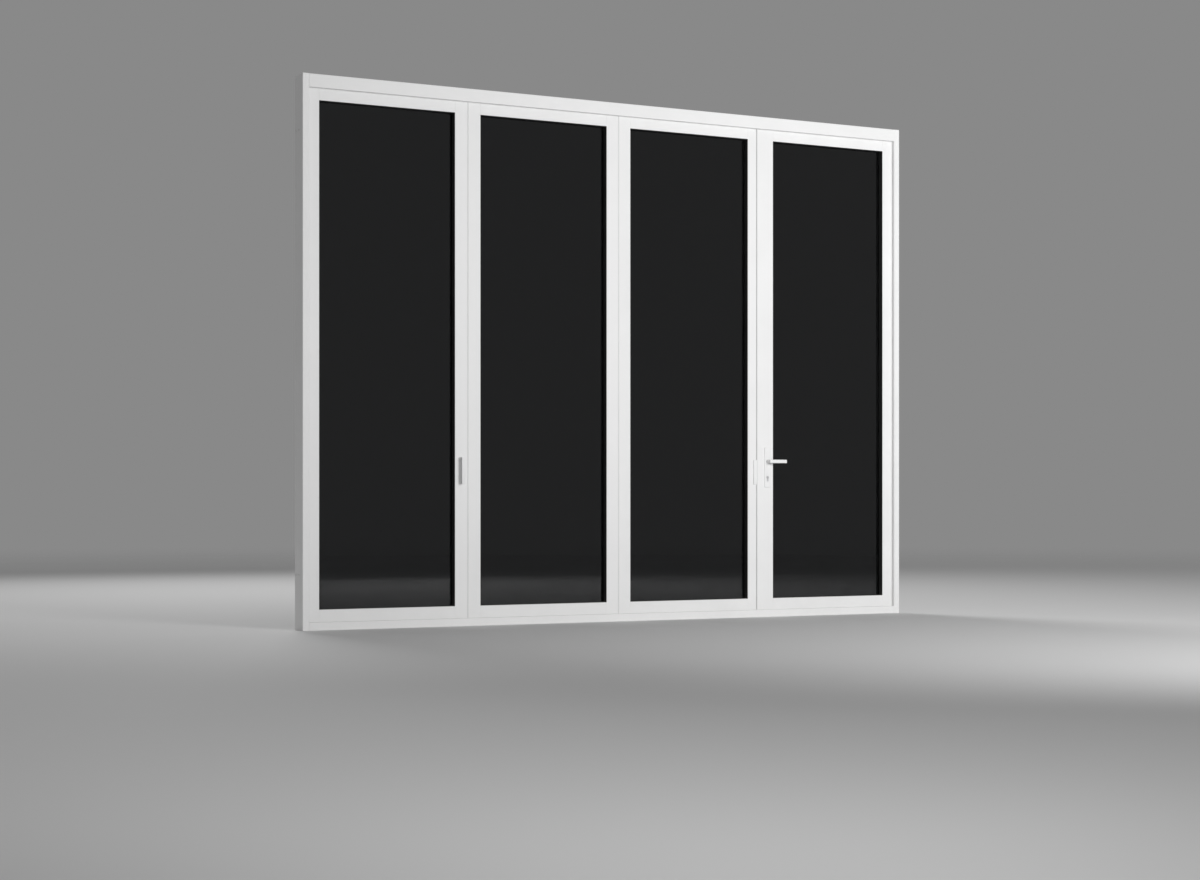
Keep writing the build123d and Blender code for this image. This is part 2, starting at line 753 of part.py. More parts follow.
cylinder_front_y = leaf_front_y - escutcheon_thickness - cylinder_proud
cylinder_back_y = leaf_back_y + escutcheon_thickness + cylinder_proud
with BuildPart() as key_cylinder:
    with BuildSketch(room_plane(cylinder_back_y)):
        with Locations((spindle_x, cylinder_z)):
            cylinder_outline(0)
    extrude(amount=cylinder_back_y - cylinder_front_y)
    for keyway_y in (cylinder_front_y + keyway_depth / 2, cylinder_back_y - keyway_depth / 2):
        with Locations((spindle_x, keyway_y, cylinder_z)):
            Box(keyway_width, keyway_depth, keyway_height, mode=Mode.SUBTRACT)
save(key_cylinder, "key_cylinder")

with BuildPart() as lock_faceplate:
    with Locations((lock_edge_x + section_wall / 2, leaf_mid_y, escutcheon_mid_z)):
        Box(section_wall, faceplate_width, faceplate_height)
save(lock_faceplate, "lock_faceplate")

# Levers: a round neck through the plate and a straight bar towards the hinge side
for name, face_y, facing in (("room_lever", leaf_front_y, 1), ("outer_lever", leaf_back_y, -1)):
    bar_back_y = face_y - facing * (lever_projection - lever_bar_thickness)
    with BuildPart() as lever:
        with BuildSketch(room_plane(bar_back_y)):
            with Locations((spindle_x, spindle_height)):
                Circle(lever_bar_height / 2)
                with Locations((lever_reach / 2, 0)):
                    RectangleRounded(lever_reach, lever_bar_height, lever_tip_corner)
                with Locations((lever_bar_height / 2, 0)):
                    Rectangle(lever_bar_height, lever_bar_height)
        extrude(amount=facing * lever_bar_thickness)
        bar_face = lever.faces().sort_by(Axis.Y)[0 if facing > 0 else -1]
        chamfer(bar_face.edges(), lever_softening)
        with BuildSketch(room_plane(face_y)):
            with Locations((spindle_x, spindle_height)):
                Circle(lever_neck_radius)
        extrude(amount=facing * (lever_projection - lever_bar_thickness))
        with BuildSketch(room_plane(face_y)):
            with Locations((spindle_x, spindle_height)):
                Rectangle(
                    spindle_side + 2 * running_clearance,
                    spindle_side + 2 * running_clearance,
                )
        extrude(amount=facing * spindle_socket_depth, mode=Mode.SUBTRACT)
    save(lever, name)

spindle_reach = leaf_depth / 2 + spindle_socket_depth - running_clearance
with BuildPart() as lever_spindle:
    with BuildSketch(room_plane(leaf_mid_y)):
        with Locations((spindle_x, spindle_height)):
            Rectangle(spindle_side, spindle_side)
    extrude(amount=spindle_reach, both=True)
save(lever_spindle, "lever_spindle")

# Pull handle on the first leaf: a bent channel, open on the right for the fingers
pull_left_x = sight_lines[0][1] + (stile_face - pull_width) / 2
pull_front_y = leaf_front_y - pull_projection
with BuildPart() as fold_pull_handle:
    with BuildSketch(Plane.XY.offset(handle_height - pull_height / 2)) as pull_section:
        with BuildLine():
            Polyline(
                (pull_left_x, leaf_front_y),
                (pull_left_x, pull_front_y),
                (pull_left_x + pull_lip_width, pull_front_y),
                (pull_left_x + pull_lip_width, pull_front_y + pull_lip_thickness),
                (pull_left_x + pull_web, pull_front_y + pull_lip_thickness),
                (pull_left_x + pull_web, leaf_front_y - pull_plate_thickness),
                (pull_left_x + pull_width, leaf_front_y - pull_plate_thickness),
                (pull_left_x + pull_width, leaf_front_y),
                close=True,
            )
        make_face()
        chamfer(pull_section.vertices().group_by(Axis.Y)[0], handle_softening)
    extrude(amount=pull_height)
save(fold_pull_handle, "fold_pull_handle")

# Flat bolt handle on the third leaf, folded down on its plate and lapping the joint, its lower end sloped
bolt_x = meeting_edge_x + bolt_overhang - bolt_plate_width / 2
bolt_lever_bottom = handle_height - bolt_lever_height / 2
bolt_seat_y = leaf_front_y - bolt_plate_thickness
with BuildPart() as bolt_handle:
    with BuildSketch(room_plane(leaf_front_y)):
        with Locations((bolt_x, handle_height)):
            Rectangle(bolt_plate_width, bolt_plate_height)
    extrude(amount=bolt_plate_thickness)
    with BuildSketch(width_plane(bolt_x)):
        with BuildLine():
            Polyline(
                (bolt_seat_y, bolt_lever_bottom),
                (bolt_seat_y, bolt_lever_bottom + bolt_lever_height),
                (bolt_seat_y - bolt_lever_thickness, bolt_lever_bottom + bolt_lever_height),
                (bolt_seat_y - bolt_lever_thickness, bolt_lever_bottom + bolt_lever_slope),
                (bolt_seat_y - bolt_plate_thickness, bolt_lever_bottom),
                close=True,
            )
        make_face()
    extrude(amount=bolt_lever_width / 2, both=True)
    lever_face = bolt_handle.faces().sort_by(Axis.Y)[0]
    chamfer(lever_face.edges().filter_by(Axis.Z), handle_softening)
save(bolt_handle, "bolt_handle")
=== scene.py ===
# %% [markdown]
# # A white bi-fold door set, dressed for its picture
#
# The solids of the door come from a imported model: frame, leaves, glass, hinges and handles, at real size.
# This lesson gives each of them its finish, adds the small parts that a fitter would screw on at the end,
# and then sets a floor, lights and a camera around the door. Everything is in metres: X runs along the
# width, minus Y is the room side and Z is up, with the origin on the floor under the middle of the sill.

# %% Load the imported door
import json
import math

import bmesh
import bpy
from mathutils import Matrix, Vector


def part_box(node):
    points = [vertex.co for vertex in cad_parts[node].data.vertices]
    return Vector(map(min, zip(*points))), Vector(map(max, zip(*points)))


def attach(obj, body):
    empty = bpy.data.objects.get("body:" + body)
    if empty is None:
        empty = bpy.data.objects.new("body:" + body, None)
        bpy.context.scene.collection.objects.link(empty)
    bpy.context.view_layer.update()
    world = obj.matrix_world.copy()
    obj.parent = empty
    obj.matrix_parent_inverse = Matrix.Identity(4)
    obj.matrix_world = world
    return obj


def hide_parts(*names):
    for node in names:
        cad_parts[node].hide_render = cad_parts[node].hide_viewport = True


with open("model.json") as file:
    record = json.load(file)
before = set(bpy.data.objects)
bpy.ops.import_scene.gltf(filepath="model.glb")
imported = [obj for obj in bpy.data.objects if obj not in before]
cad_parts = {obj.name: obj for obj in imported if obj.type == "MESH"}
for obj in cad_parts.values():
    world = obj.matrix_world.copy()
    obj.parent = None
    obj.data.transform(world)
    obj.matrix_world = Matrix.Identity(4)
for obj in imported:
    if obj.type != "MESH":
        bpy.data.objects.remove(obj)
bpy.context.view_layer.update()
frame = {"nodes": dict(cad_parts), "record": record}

nodes = frame["nodes"]
scene = bpy.context.scene

# %% [markdown]
# ## The camera
#
# The camera stands low and to the left, at about the height of a table, and looks level. A level camera
# keeps upright edges upright, so the picture shows two vanishing points and no third one. The door sits
# above the middle of the picture, and the lens is shifted up for that, as on an architect's camera.
# Tilting the camera would frame the door too, but its stiles would then lean together.

# %% Camera
PICTURE_WIDTH = 1200
HORIZON_BELOW_MIDDLE = 57
SENSOR_WIDTH = 36.0
LENS = 70.2
CAMERA_PLACE = Vector((-6.84, -11.76, 0.72))
CAMERA_YAW = math.radians(29.75)

camera_data = bpy.data.cameras.new("studio_camera")
camera_data.sensor_width = SENSOR_WIDTH
camera_data.lens = LENS
camera_data.shift_y = HORIZON_BELOW_MIDDLE / PICTURE_WIDTH
camera = bpy.data.objects.new("studio_camera", camera_data)
scene.collection.objects.link(camera)
camera.location = CAMERA_PLACE
camera.rotation_euler = (math.pi / 2, 0.0, -CAMERA_YAW)
scene.camera = camera
print("camera", [round(value, 2) for value in CAMERA_PLACE], "lens", LENS)

# %% [markdown]
# ## Tools for the finishes
#
# A finish is a small network of shader nodes. The helpers here keep the cells below short: they place a
# node and fill its inputs, start a material with its Principled shader, and build or use a node group. A
# group is worth making when two finishes share an effect, because each then places the same group with its
# own values. Groups here give out masks, values and heights, never a shader.

# %% Helpers for shader nodes
def place(tree, kind, links=None, **settings):
    """Add a node, set its plain properties, and fill its inputs by name or number."""
    node = tree.nodes.new(kind)
    for name, value in settings.items():
        setattr(node, name, value)
    for key, value in (links or {}).items():
        if isinstance(value, bpy.types.NodeSocket):
            tree.links.new(value, node.inputs[key])
        else:
            node.inputs[key].default_value = value
    return node


def start_material(name):
    """A new material with one Principled shader, and its node tree."""
    material = bpy.data.materials.new(name)
    material.use_nodes = True
    tree = material.node_tree
    return material, tree, tree.nodes["Principled BSDF"]


def start_group(name, inputs, outputs, kind="ShaderNodeTree"):
    """A node group with named inputs (socket, name, value) and outputs (socket, name)."""
    tree = bpy.data.node_groups.new(name, kind)
    for socket_kind, label, value in inputs:
        socket = tree.interface.new_socket(label, in_out="INPUT", socket_type=socket_kind)
        if value is not None:
            socket.default_value = value
    for socket_kind, label in outputs:
        tree.interface.new_socket(label, in_out="OUTPUT", socket_type=socket_kind)
    return tree, tree.nodes.new("NodeGroupInput"), tree.nodes.new("NodeGroupOutput")


def use_group(tree, group, **values):
    """Place a group in a material; spaces in input names are written as underscores."""
    node = tree.nodes.new("ShaderNodeGroup")
    node.node_tree = group
    for name, value in values.items():
        node.inputs[name.replace("_", " ")].default_value = value
    return node


def set_input(shader, **values):
    """Set plain values on a Principled shader's own sockets."""
    for name, value in values.items():
        shader.inputs[name.replace("_", " ")].default_value = value


print("shader helpers ready")

# %% [markdown]
# ### Shared effect: a fine surface grain
#
# Sprayed powder melts into a skin with a faint ripple, rubber comes off its die with a grain, and moulded
# plastic copies its mould. All of them are small hills at some scale, with a gloss that drifts a little
# from place to place. A displacement would need millions of faces for hills this small, so the group
# gives out a height for a Bump node and a roughness value.

# %% Group: surface grain
def make_grain_group():
    """Fine hills for bump, and a roughness that drifts slowly over the surface."""
    tree, given, result = start_group(
        "surface_grain",
        (
            ("NodeSocketFloat", "Hills per Metre", 700.0),
            ("NodeSocketFloat", "Drift per Metre", 5.0),
            ("NodeSocketFloat", "Lowest Roughness", 0.3),
            ("NodeSocketFloat", "Highest Roughness", 0.4),
        ),
        (("NodeSocketFloat", "Height"), ("NodeSocketFloat", "Roughness"), ("NodeSocketFloat", "Drift")),
    )
    where = place(tree, "ShaderNodeTexCoord").outputs["Object"]
    hills = place(
        tree,
        "ShaderNodeTexNoise",
        {"Vector": where, "Scale": given.outputs["Hills per Metre"], "Detail": 2.0, "Roughness": 0.5},
    )
    drift = place(
        tree,
        "ShaderNodeTexNoise",
        {"Vector": where, "Scale": given.outputs["Drift per Metre"], "Detail": 3.0, "Roughness": 0.6},
    )
    rough = place(
        tree,
        "ShaderNodeMapRange",
        {
            "Value": drift.outputs["Fac"],
            "From Min": 0.3,
            "From Max": 0.7,
            "To Min": given.outputs["Lowest Roughness"],
            "To Max": given.outputs["Highest Roughness"],
        },
    )
    tree.links.new(hills.outputs["Fac"], result.inputs["Height"])
    tree.links.new(rough.outputs["Result"], result.inputs["Roughness"])
    tree.links.new(drift.outputs["Fac"], result.inputs["Drift"])
    return tree


grain_group = make_grain_group()
print("group", grain_group.name)

# %% [markdown]
# ### Shared effect: settled dust
#
# Even a new door gathers a breath of dust on its ledges, and rain splashes the lowest hand's breadth. The
# mask is strongest where a face looks up and near the floor, and a noise breaks it up. Painting it by hand
# would look as good on one door, but a mask that reads the face's direction works on every piece.

# %% Group: settled dust
SPLASH_HEIGHT = 0.18
PATCHES_PER_METRE = 23.0


def make_dust_group():
    """A mask of dust on upward faces and of splashes near the floor."""
    tree, given, result = start_group(
        "settled_dust",
        (("NodeSocketFloat", "Ledges", 0.5), ("NodeSocketFloat", "Splashes", 0.2)),
        (("NodeSocketFloat", "Dust"),),
    )
    where = place(tree, "ShaderNodeTexCoord").outputs["Object"]
    normal = place(tree, "ShaderNodeNewGeometry").outputs["Normal"]
    facing = place(tree, "ShaderNodeSeparateXYZ", {0: normal}).outputs["Z"]
    height = place(tree, "ShaderNodeSeparateXYZ", {0: where}).outputs["Z"]
    upward = place(tree, "ShaderNodeMapRange", {"Value": facing, "From Min": 0.4, "From Max": 1.0})
    low = place(
        tree,
        "ShaderNodeMapRange",
        {"Value": height, "From Min": 0.0, "From Max": SPLASH_HEIGHT, "To Min": 1.0, "To Max": 0.0},
    )
    patches = place(
        tree,
        "ShaderNodeTexNoise",
        {"Vector": where, "Scale": PATCHES_PER_METRE, "Detail": 5.0, "Roughness": 0.65},
    )
    ledge = place(
        tree,
        "ShaderNodeMath",
        {0: upward.outputs["Result"], 1: given.outputs["Ledges"]},
        operation="MULTIPLY",
    )
    splash = place(
        tree,
        "ShaderNodeMath",
        {0: low.outputs["Result"], 1: given.outputs["Splashes"]},
        operation="MULTIPLY",
    )
    both = place(tree, "ShaderNodeMath", {0: ledge.outputs[0], 1: splash.outputs[0]}, operation="MAXIMUM")
    broken = place(
        tree, "ShaderNodeMath", {0: both.outputs[0], 1: patches.outputs["Fac"]}, operation="MULTIPLY"
    )
    tree.links.new(broken.outputs[0], result.inputs["Dust"])
    return tree


dust_group = make_dust_group()
print("group", dust_group.name)

# %% [markdown]
# ## White powder coat
#
# Frame, leaves, beads and handles wear the same satin white powder coat. Its colour is a plain neutral
# white that drifts by a hair from piece to piece, its skin has the fine ripple of melted powder, and a
# little dust lies on the ledges. A glossy paint would mirror the lamps, so the roughness stays near a half.

# %% Finish: white coat
COAT_LIGHT = (0.86, 0.86, 0.86, 1.0)
COAT_DEEP = (0.80, 0.80, 0.80, 1.0)
DUST_COLOUR = (0.52, 0.50, 0.46, 1.0)
COAT_RIPPLE = 0.00005
MIX_FACTOR = 0
MIX_FIRST_COLOUR = 6
MIX_SECOND_COLOUR = 7
MIX_RESULT = 2


def mix_colour(tree, factor, first, second):
    """Blend two colours by a factor socket and return the resulting colour socket."""
    sockets = {MIX_FACTOR: factor, MIX_FIRST_COLOUR: first, MIX_SECOND_COLOUR: second}
    return place(tree, "ShaderNodeMix", sockets, data_type="RGBA").outputs[MIX_RESULT]


def add_bump(tree, shader, height, distance):
    """Feed a height into the shader's normal through a Bump node."""
    bump = place(tree, "ShaderNodeBump", {"Height": height, "Distance": distance, "Strength": 1.0})
    tree.links.new(bump.outputs["Normal"], shader.inputs["Normal"])


def make_white_coat():
    """Satin white powder coat."""
    material, tree, shader = start_material("white_powder_coat")
    grain = use_group(
        tree,
        grain_group,
        Hills_per_Metre=620.0,
        Drift_per_Metre=3.5,
        Lowest_Roughness=0.42,
        Highest_Roughness=0.54,
    )
    dust = use_group(tree, dust_group, Ledges=0.35, Splashes=0.16)
    tone = mix_colour(tree, grain.outputs["Drift"], COAT_DEEP, COAT_LIGHT)
    colour = mix_colour(tree, dust.outputs["Dust"], tone, DUST_COLOUR)
    tree.links.new(colour, shader.inputs["Base Color"])
    tree.links.new(grain.outputs["Roughness"], shader.inputs["Roughness"])
    add_bump(tree, shader, grain.outputs["Height"], COAT_RIPPLE)
    set_input(shader, Metallic=0.0, IOR=1.5)
    return material


white_coat = make_white_coat()
print("finish", white_coat.name)

# %% [markdown]
# ## Tinted glass
#
# Each leaf holds two sheets of grey tinted glass with a dark spacer between them. The tint is the shader's
# own base colour, which each sheet lays over what is seen through it, so two sheets read nearly black.
# Toughened glass leaves its furnace with a faint wave from the rollers, and that wave is what makes its
# reflections swim. A Wave texture of that period feeds the bump.

# %% Finish: tinted glass
GLASS_TINT = (0.13, 0.133, 0.137, 1.0)
ROLLER_WAVES_PER_METRE = 0.55
ROLLER_WAVE_HEIGHT = 0.00002


def make_tinted_glass():
    """Grey glass with a faint roller wave and a film that changes its gloss a little."""
    material, tree, shader = start_material("grey_tinted_glass")
    where = place(tree, "ShaderNodeTexCoord").outputs["Object"]
    wave = place(
        tree,
        "ShaderNodeTexWave",
        {"Vector": where, "Scale": ROLLER_WAVES_PER_METRE, "Distortion": 2.0, "Detail": 1.0},
        bands_direction="Z",
    )
    film = use_group(
        tree,
        grain_group,
        Hills_per_Metre=300.0,
        Drift_per_Metre=7.0,
        Lowest_Roughness=0.0,
        Highest_Roughness=0.02,
    )
    tree.links.new(film.outputs["Roughness"], shader.inputs["Roughness"])
    add_bump(tree, shader, wave.outputs["Fac"], ROLLER_WAVE_HEIGHT)
    set_input(shader, Base_Color=GLASS_TINT, Metallic=0.0, Transmission_Weight=1.0, IOR=1.5)
    return material


tinted_glass = make_tinted_glass()
print("finish", tinted_glass.name)

# %% [markdown]
# ## Rubber, plastic and bare metal
#
# The gaskets are black rubber and the joint seals light grey rubber, both matt with the drag marks of the
# die. Rails in the track stay as they left the press, with long fine lines. Pins, the hanger and the lock
# parts are brushed steel. One function makes each family, and its arguments are the finish's own values.

# %% Finishes: rubber and plastic
MOULDED_GLOSS_DRIFT = 0.08


def make_moulded(name, dark, light, hills, depth, roughness):
    """A matt moulded or extruded finish between two tones, with its own grain."""
    material, tree, shader = start_material(name)
    grain = use_group(
        tree,
        grain_group,
        Hills_per_Metre=hills,
        Drift_per_Metre=11.0,
        Lowest_Roughness=roughness - MOULDED_GLOSS_DRIFT,
        Highest_Roughness=roughness + MOULDED_GLOSS_DRIFT,
    )
    dust = use_group(tree, dust_group, Ledges=0.3, Splashes=0.25)
    tone = mix_colour(tree, grain.outputs["Drift"], dark, light)
    colour = mix_colour(tree, dust.outputs["Dust"], tone, DUST_COLOUR)
    tree.links.new(colour, shader.inputs["Base Color"])
    tree.links.new(grain.outputs["Roughness"], shader.inputs["Roughness"])
    add_bump(tree, shader, grain.outputs["Height"], depth)
    return material


black_rubber = make_moulded(
    "black_gasket_rubber", (0.008, 0.008, 0.008, 1.0), (0.02, 0.02, 0.02, 1.0), 1100.0, 0.00005, 0.7
)
grey_rubber = make_moulded(
    "grey_seal_rubber", (0.60, 0.60, 0.60, 1.0), (0.70, 0.70, 0.70, 1.0), 900.0, 0.00005, 0.65
)
black_plastic = make_moulded(
    "black_nylon", (0.02, 0.02, 0.022, 1.0), (0.045, 0.045, 0.047, 1.0), 500.0, 0.00004, 0.45
)
print("finishes", black_rubber.name, grey_rubber.name, black_plastic.name)

# %% Finishes: bare metal
LINE_STRETCH = 60.0
LINE_DEPTH = 0.00003
METAL_GLOSS_DRIFT = 0.1


def make_bare_metal(name, dark, light, line_scale, roughness):
    """Metal with fine lines drawn out along the width."""
    material, tree, shader = start_material(name)
    where = place(tree, "ShaderNodeTexCoord").outputs["Object"]
    drawn = place(tree, "ShaderNodeMapping", {"Vector": where, "Scale": (1.0 / LINE_STRETCH, 1.0, 1.0)})
    lines = place(
        tree,
        "ShaderNodeTexNoise",
        {"Vector": drawn.outputs["Vector"], "Scale": line_scale, "Detail": 3.0, "Roughness": 0.6},
    )
    rough = place(
        tree,
        "ShaderNodeMapRange",
        {
            "Value": lines.outputs["Fac"],
            "To Min": roughness - METAL_GLOSS_DRIFT,
            "To Max": roughness + METAL_GLOSS_DRIFT,
        },
    )
    tree.links.new(mix_colour(tree, lines.outputs["Fac"], dark, light), shader.inputs["Base Color"])
    tree.links.new(rough.outputs["Result"], shader.inputs["Roughness"])
    add_bump(tree, shader, lines.outputs["Fac"], LINE_DEPTH)
    set_input(shader, Metallic=1.0)
    return material


mill_aluminium = make_bare_metal(
    "bare_aluminium", (0.60, 0.60, 0.61, 1.0), (0.78, 0.78, 0.79, 1.0), 1500.0, 0.36
)
brushed_steel = make_bare_metal(
    "brushed_steel", (0.66, 0.66, 0.67, 1.0), (0.82, 0.82, 0.83, 1.0), 2200.0, 0.4
)
print("finishes", mill_aluminium.name, brushed_steel.name)

# %% [markdown]
# ## Dress the solids
#
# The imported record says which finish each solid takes, so one table from slot to material dresses the
# whole door. Naming every solid by hand would also work, and would need mending whenever one is added.

# %% Dress the solids
FINISH_OF_SLOT = {
    "white_coat": white_coat,
    "glass": tinted_glass,
    "black_rubber": black_rubber,
    "grey_rubber": grey_rubber,
    "mill_aluminium": mill_aluminium,
    "steel": brushed_steel,
    "black_plastic": black_plastic,
}

for subpart in frame["record"]["subparts"]:
    mesh = nodes[subpart["node"]].data
    mesh.materials.clear()
    mesh.materials.append(FINISH_OF_SLOT[subpart["material_slot"]])

# %% [markdown]
# ## Tools for the small parts
#
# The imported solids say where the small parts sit: a screw belongs on a hinge flap, wherever that flap is. A
# solid's mesh comes as loose triangles, so a copy is merged first, and each connected island of the copy is
# then one solid, such as one of three hinges. Reading the boxes of those islands ties every place to the
# solids. A list of coordinates would be shorter, and wrong as soon as a hinge moved.

# %% Helpers for places and pieces
MERGE_DISTANCE = 0.00001
SMOOTH_BELOW = math.radians(35.0)


def merged_copy(node):
    """A node's triangles joined into one shape; the node itself is left alone."""
    shape = bmesh.new()
    shape.from_mesh(nodes[node].data)
    bmesh.ops.remove_doubles(shape, verts=shape.verts, dist=MERGE_DISTANCE)
    return shape


def corners_of(points):
    """Lowest and highest corner of some points."""
    low = Vector([min(point[axis] for point in points) for axis in range(3)])
    high = Vector([max(point[axis] for point in points) for axis in range(3)])
    return low, high


def island_boxes(node):
    """Lowest and highest corner of each separate solid in a node, from the floor up."""
    shape = merged_copy(node)
    seen = set()
    boxes = []
    for start in shape.verts:
        if start in seen:
            continue
        seen.add(start)
        rim = [start]
        island = []
        while rim:
            vert = rim.pop()
            island.append(vert.co.copy())
            for edge in vert.link_edges:
                other = edge.other_vert(vert)
                if other not in seen:
                    seen.add(other)
                    rim.append(other)
        boxes.append(corners_of(island))
    shape.free()
    return sorted(boxes, key=lambda box: box[0].z)


def add_object(name, mesh):
    """Link a mesh to the scene as an object at the origin."""
    piece = bpy.data.objects.new(name, mesh)
    scene.collection.objects.link(piece)
    return piece


def shade_smooth(mesh):
    """Smooth shading that stops at sharp edges."""
    mesh.polygons.foreach_set("use_smooth", [True] * len(mesh.polygons))
    mesh.set_sharp_from_angle(angle=SMOOTH_BELOW)


def evaluated_mesh(piece):
    """The plain mesh that an object's modifiers give."""
    depsgraph = bpy.context.evaluated_depsgraph_get()
    return bpy.data.meshes.new_from_object(piece.evaluated_get(depsgraph), depsgraph=depsgraph)


print("hinge islands", [len(island_boxes(node)) for node in ("left_jamb_hinges", "fold_hinges")])

# %% [markdown]
# ## Rounded handles
#
# Cast handles have no knife edges: a caster rounds every corner so that the metal fills the mould and the
# hand finds no burr. The solids carry the right outline with flat chamfers, so a merged copy of each handle
# gets a Bevel modifier on all edges sharper than a set angle, and the copy stands in for the solid.
# Remodelling the handles from scratch would risk drifting from the solids.

# %% Rounded handles
EDGE_ROUNDING = {
    "room_lever": 0.0016,
    "outer_lever": 0.0016,
    "room_escutcheon": 0.0008,
    "outer_escutcheon": 0.0008,
    "fold_pull_handle": 0.0012,
    "bolt_handle": 0.001,
}
ROUNDING_STEPS = 3
ROUND_ABOVE = math.radians(28.0)
FLAT_BELOW = math.radians(0.5)
SLOT_OF = {subpart["node"]: subpart["material_slot"] for subpart in frame["record"]["subparts"]}
MEMBERS_OF = frame["record"]["behaviour"]["bodies"]
BODY_OF = {node: body for body, members in MEMBERS_OF.items() for node in members}


def round_edges(node, radius):
    """A copy of a solid with rounded edges, riding where the solid rides."""
    shape = merged_copy(node)
    bmesh.ops.dissolve_limit(
        shape, angle_limit=FLAT_BELOW, use_dissolve_boundaries=False, verts=shape.verts, edges=shape.edges
    )
    mesh = bpy.data.meshes.new(node + "_sharp")
    shape.to_mesh(mesh)
    shape.free()
    piece = add_object(node + "_rounded", mesh)
    bevel = piece.modifiers.new("rounding", "BEVEL")
    bevel.width = radius
    bevel.segments = ROUNDING_STEPS
    bevel.limit_method = "ANGLE"
    bevel.angle_limit = ROUND_ABOVE
    rounded = evaluated_mesh(piece)
    piece.modifiers.remove(bevel)
    piece.data = rounded
    shade_smooth(rounded)
    rounded.materials.clear()
    rounded.materials.append(FINISH_OF_SLOT[SLOT_OF[node]])
    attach(piece, BODY_OF[node])
    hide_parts(node)
    return piece


for node, radius in EDGE_ROUNDING.items():
    rounded_piece = round_edges(node, radius)
    print(rounded_piece.name, len(rounded_piece.data.polygons), "faces")

# %% [markdown]
# ## Tools for what repeats
#
# Screws, drain hoods and the long seals repeat one shape or draw it along a line, which is what Geometry
# Nodes do best. Each tree takes a seed mesh and named sizes, makes its instances real, sets one material,
# and is then turned into a plain mesh. Copying objects in a loop would also work, but would leave dozens of
# objects and no single place to change a size.

# %% Helpers for shape trees
def start_shape_tree(name, seed_name, sizes):
    """A Geometry Nodes tree with a seed shape, named sizes and one geometry out."""
    inputs = [("NodeSocketGeometry", seed_name, None)]
    inputs += [("NodeSocketFloat", label, value) for label, value in sizes.items()]
    return start_group(name, inputs, (("NodeSocketGeometry", "Geometry"),), kind="GeometryNodeTree")


def end_shape_tree(tree, result, shape, material):
    """Make instances real, set the material and hand the shape out."""
    real = place(tree, "GeometryNodeRealizeInstances", {"Geometry": shape})
    dressed = place(
        tree, "GeometryNodeSetMaterial", {"Geometry": real.outputs["Geometry"], "Material": material}
    )
    tree.links.new(dressed.outputs["Geometry"], result.inputs["Geometry"])


def stand_on_points(tree, points, shape):
    """Place a shape on every point, its own Z turned along the point's facing."""
    facing = place(tree, "GeometryNodeInputNamedAttribute", {"Name": "facing"}, data_type="FLOAT_VECTOR")
    turn = place(
        tree, "FunctionNodeAlignRotationToVector", {"Vector": facing.outputs["Attribute"]}, axis="Z"
    )
    return place(
        tree,
        "GeometryNodeInstanceOnPoints",
        {"Points": points, "Instance": shape, "Rotation": turn.outputs["Rotation"]},
    ).outputs["Instances"]


def point_seed(name, spots):
    """A mesh of loose points, each with the direction that it faces."""
    mesh = bpy.data.meshes.new(name + "_points")
    mesh.from_pydata([spot for spot, facing in spots], [], [])
    directions = mesh.attributes.new("facing", "FLOAT_VECTOR", "POINT")
    for index, (spot, facing) in enumerate(spots):
        directions.data[index].vector = facing
    return mesh


def grow(name, tree, seed, sizes, body, slot):
    """Run a tree on a seed mesh, keep the result as one plain mesh, and let it ride on a body."""
    piece = add_object(name, seed)
    growth = piece.modifiers.new("growth", "NODES")
    growth.node_group = tree
    for socket in tree.interface.items_tree:
        if socket.in_out == "INPUT" and socket.name in sizes:
            growth[socket.identifier] = sizes[socket.name]
    grown = evaluated_mesh(piece)
    piece.modifiers.remove(growth)
    piece.data = grown
    shade_smooth(grown)
    grown.materials.clear()
    grown.materials.append(FINISH_OF_SLOT[slot])
    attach(piece, body)
    print(name, "on", body, len(grown.polygons), "faces")
    return piece


print("shape tree helpers ready")

# %% [markdown]
# ## Lock keep and bolts
#
# The lock shows on the narrow edge of the access leaf once it swings open: a spring latch with a slanted nose
# and a square dead bolt, both drawn back almost flush with the faceplate. Opposite, on the third leaf, a thin
# steel keep has a window for each of them, and a flat sheet of black nylon in each window is painted shade
# for the hollow pocket behind it. They are a few faces each, so plain mesh code makes them, and a small bevel
# takes the razor look off their edges.

# %% Lock keep and bolts
KEEP_HEIGHT = 0.190
KEEP_WIDTH = 0.022
KEEP_THICKNESS = 0.001
# Thickness of the black sheet in each keep window, which is painted shade for the hollow pocket.
SHADE_SHEET_THICKNESS = 0.0003
BOLT_WIDTH = 0.014
LATCH_NOSE_WIDTH = BOLT_WIDTH / 3
WINDOW_COLUMN = 1
WINDOW_ROWS = (1, 3)
LATCH_HEIGHT = 0.030
LATCH_ABOVE_SPINDLE = 0.024
LATCH_PROUD = 0.002
DEADBOLT_HEIGHT = 0.034
DEADBOLT_BELOW_SPINDLE = 0.062
DEADBOLT_PROUD = 0.0008
WINDOW_MARGIN = 0.0015
BOLT_EASE = 0.0003

faceplate_low, faceplate_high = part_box("lock_faceplate")
spindle_low, spindle_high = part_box("lever_spindle")
faceplate_mid = (faceplate_low + faceplate_high) / 2
spindle_z = (spindle_low.z + spindle_high.z) / 2
latch_z = spindle_z + LATCH_ABOVE_SPINDLE
deadbolt_z = spindle_z - DEADBOLT_BELOW_SPINDLE
keep_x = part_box("leaf_3_stiles")[1].x


def add_prism(shape, outline, low_z, high_z, material=0):
    """A closed upright prism over an outline of (x, y) points."""
    floor_ring = [shape.verts.new((x, y, low_z)) for x, y in outline]
    roof_ring = [shape.verts.new((x, y, high_z)) for x, y in outline]
    faces = [shape.faces.new(floor_ring), shape.faces.new(roof_ring)]
    for index in range(len(outline)):
        following = (index + 1) % len(outline)
        low_side = (floor_ring[index], floor_ring[following])
        high_side = (roof_ring[following], roof_ring[index])
        faces.append(shape.faces.new(low_side + high_side))
    for face in faces:
        face.material_index = material


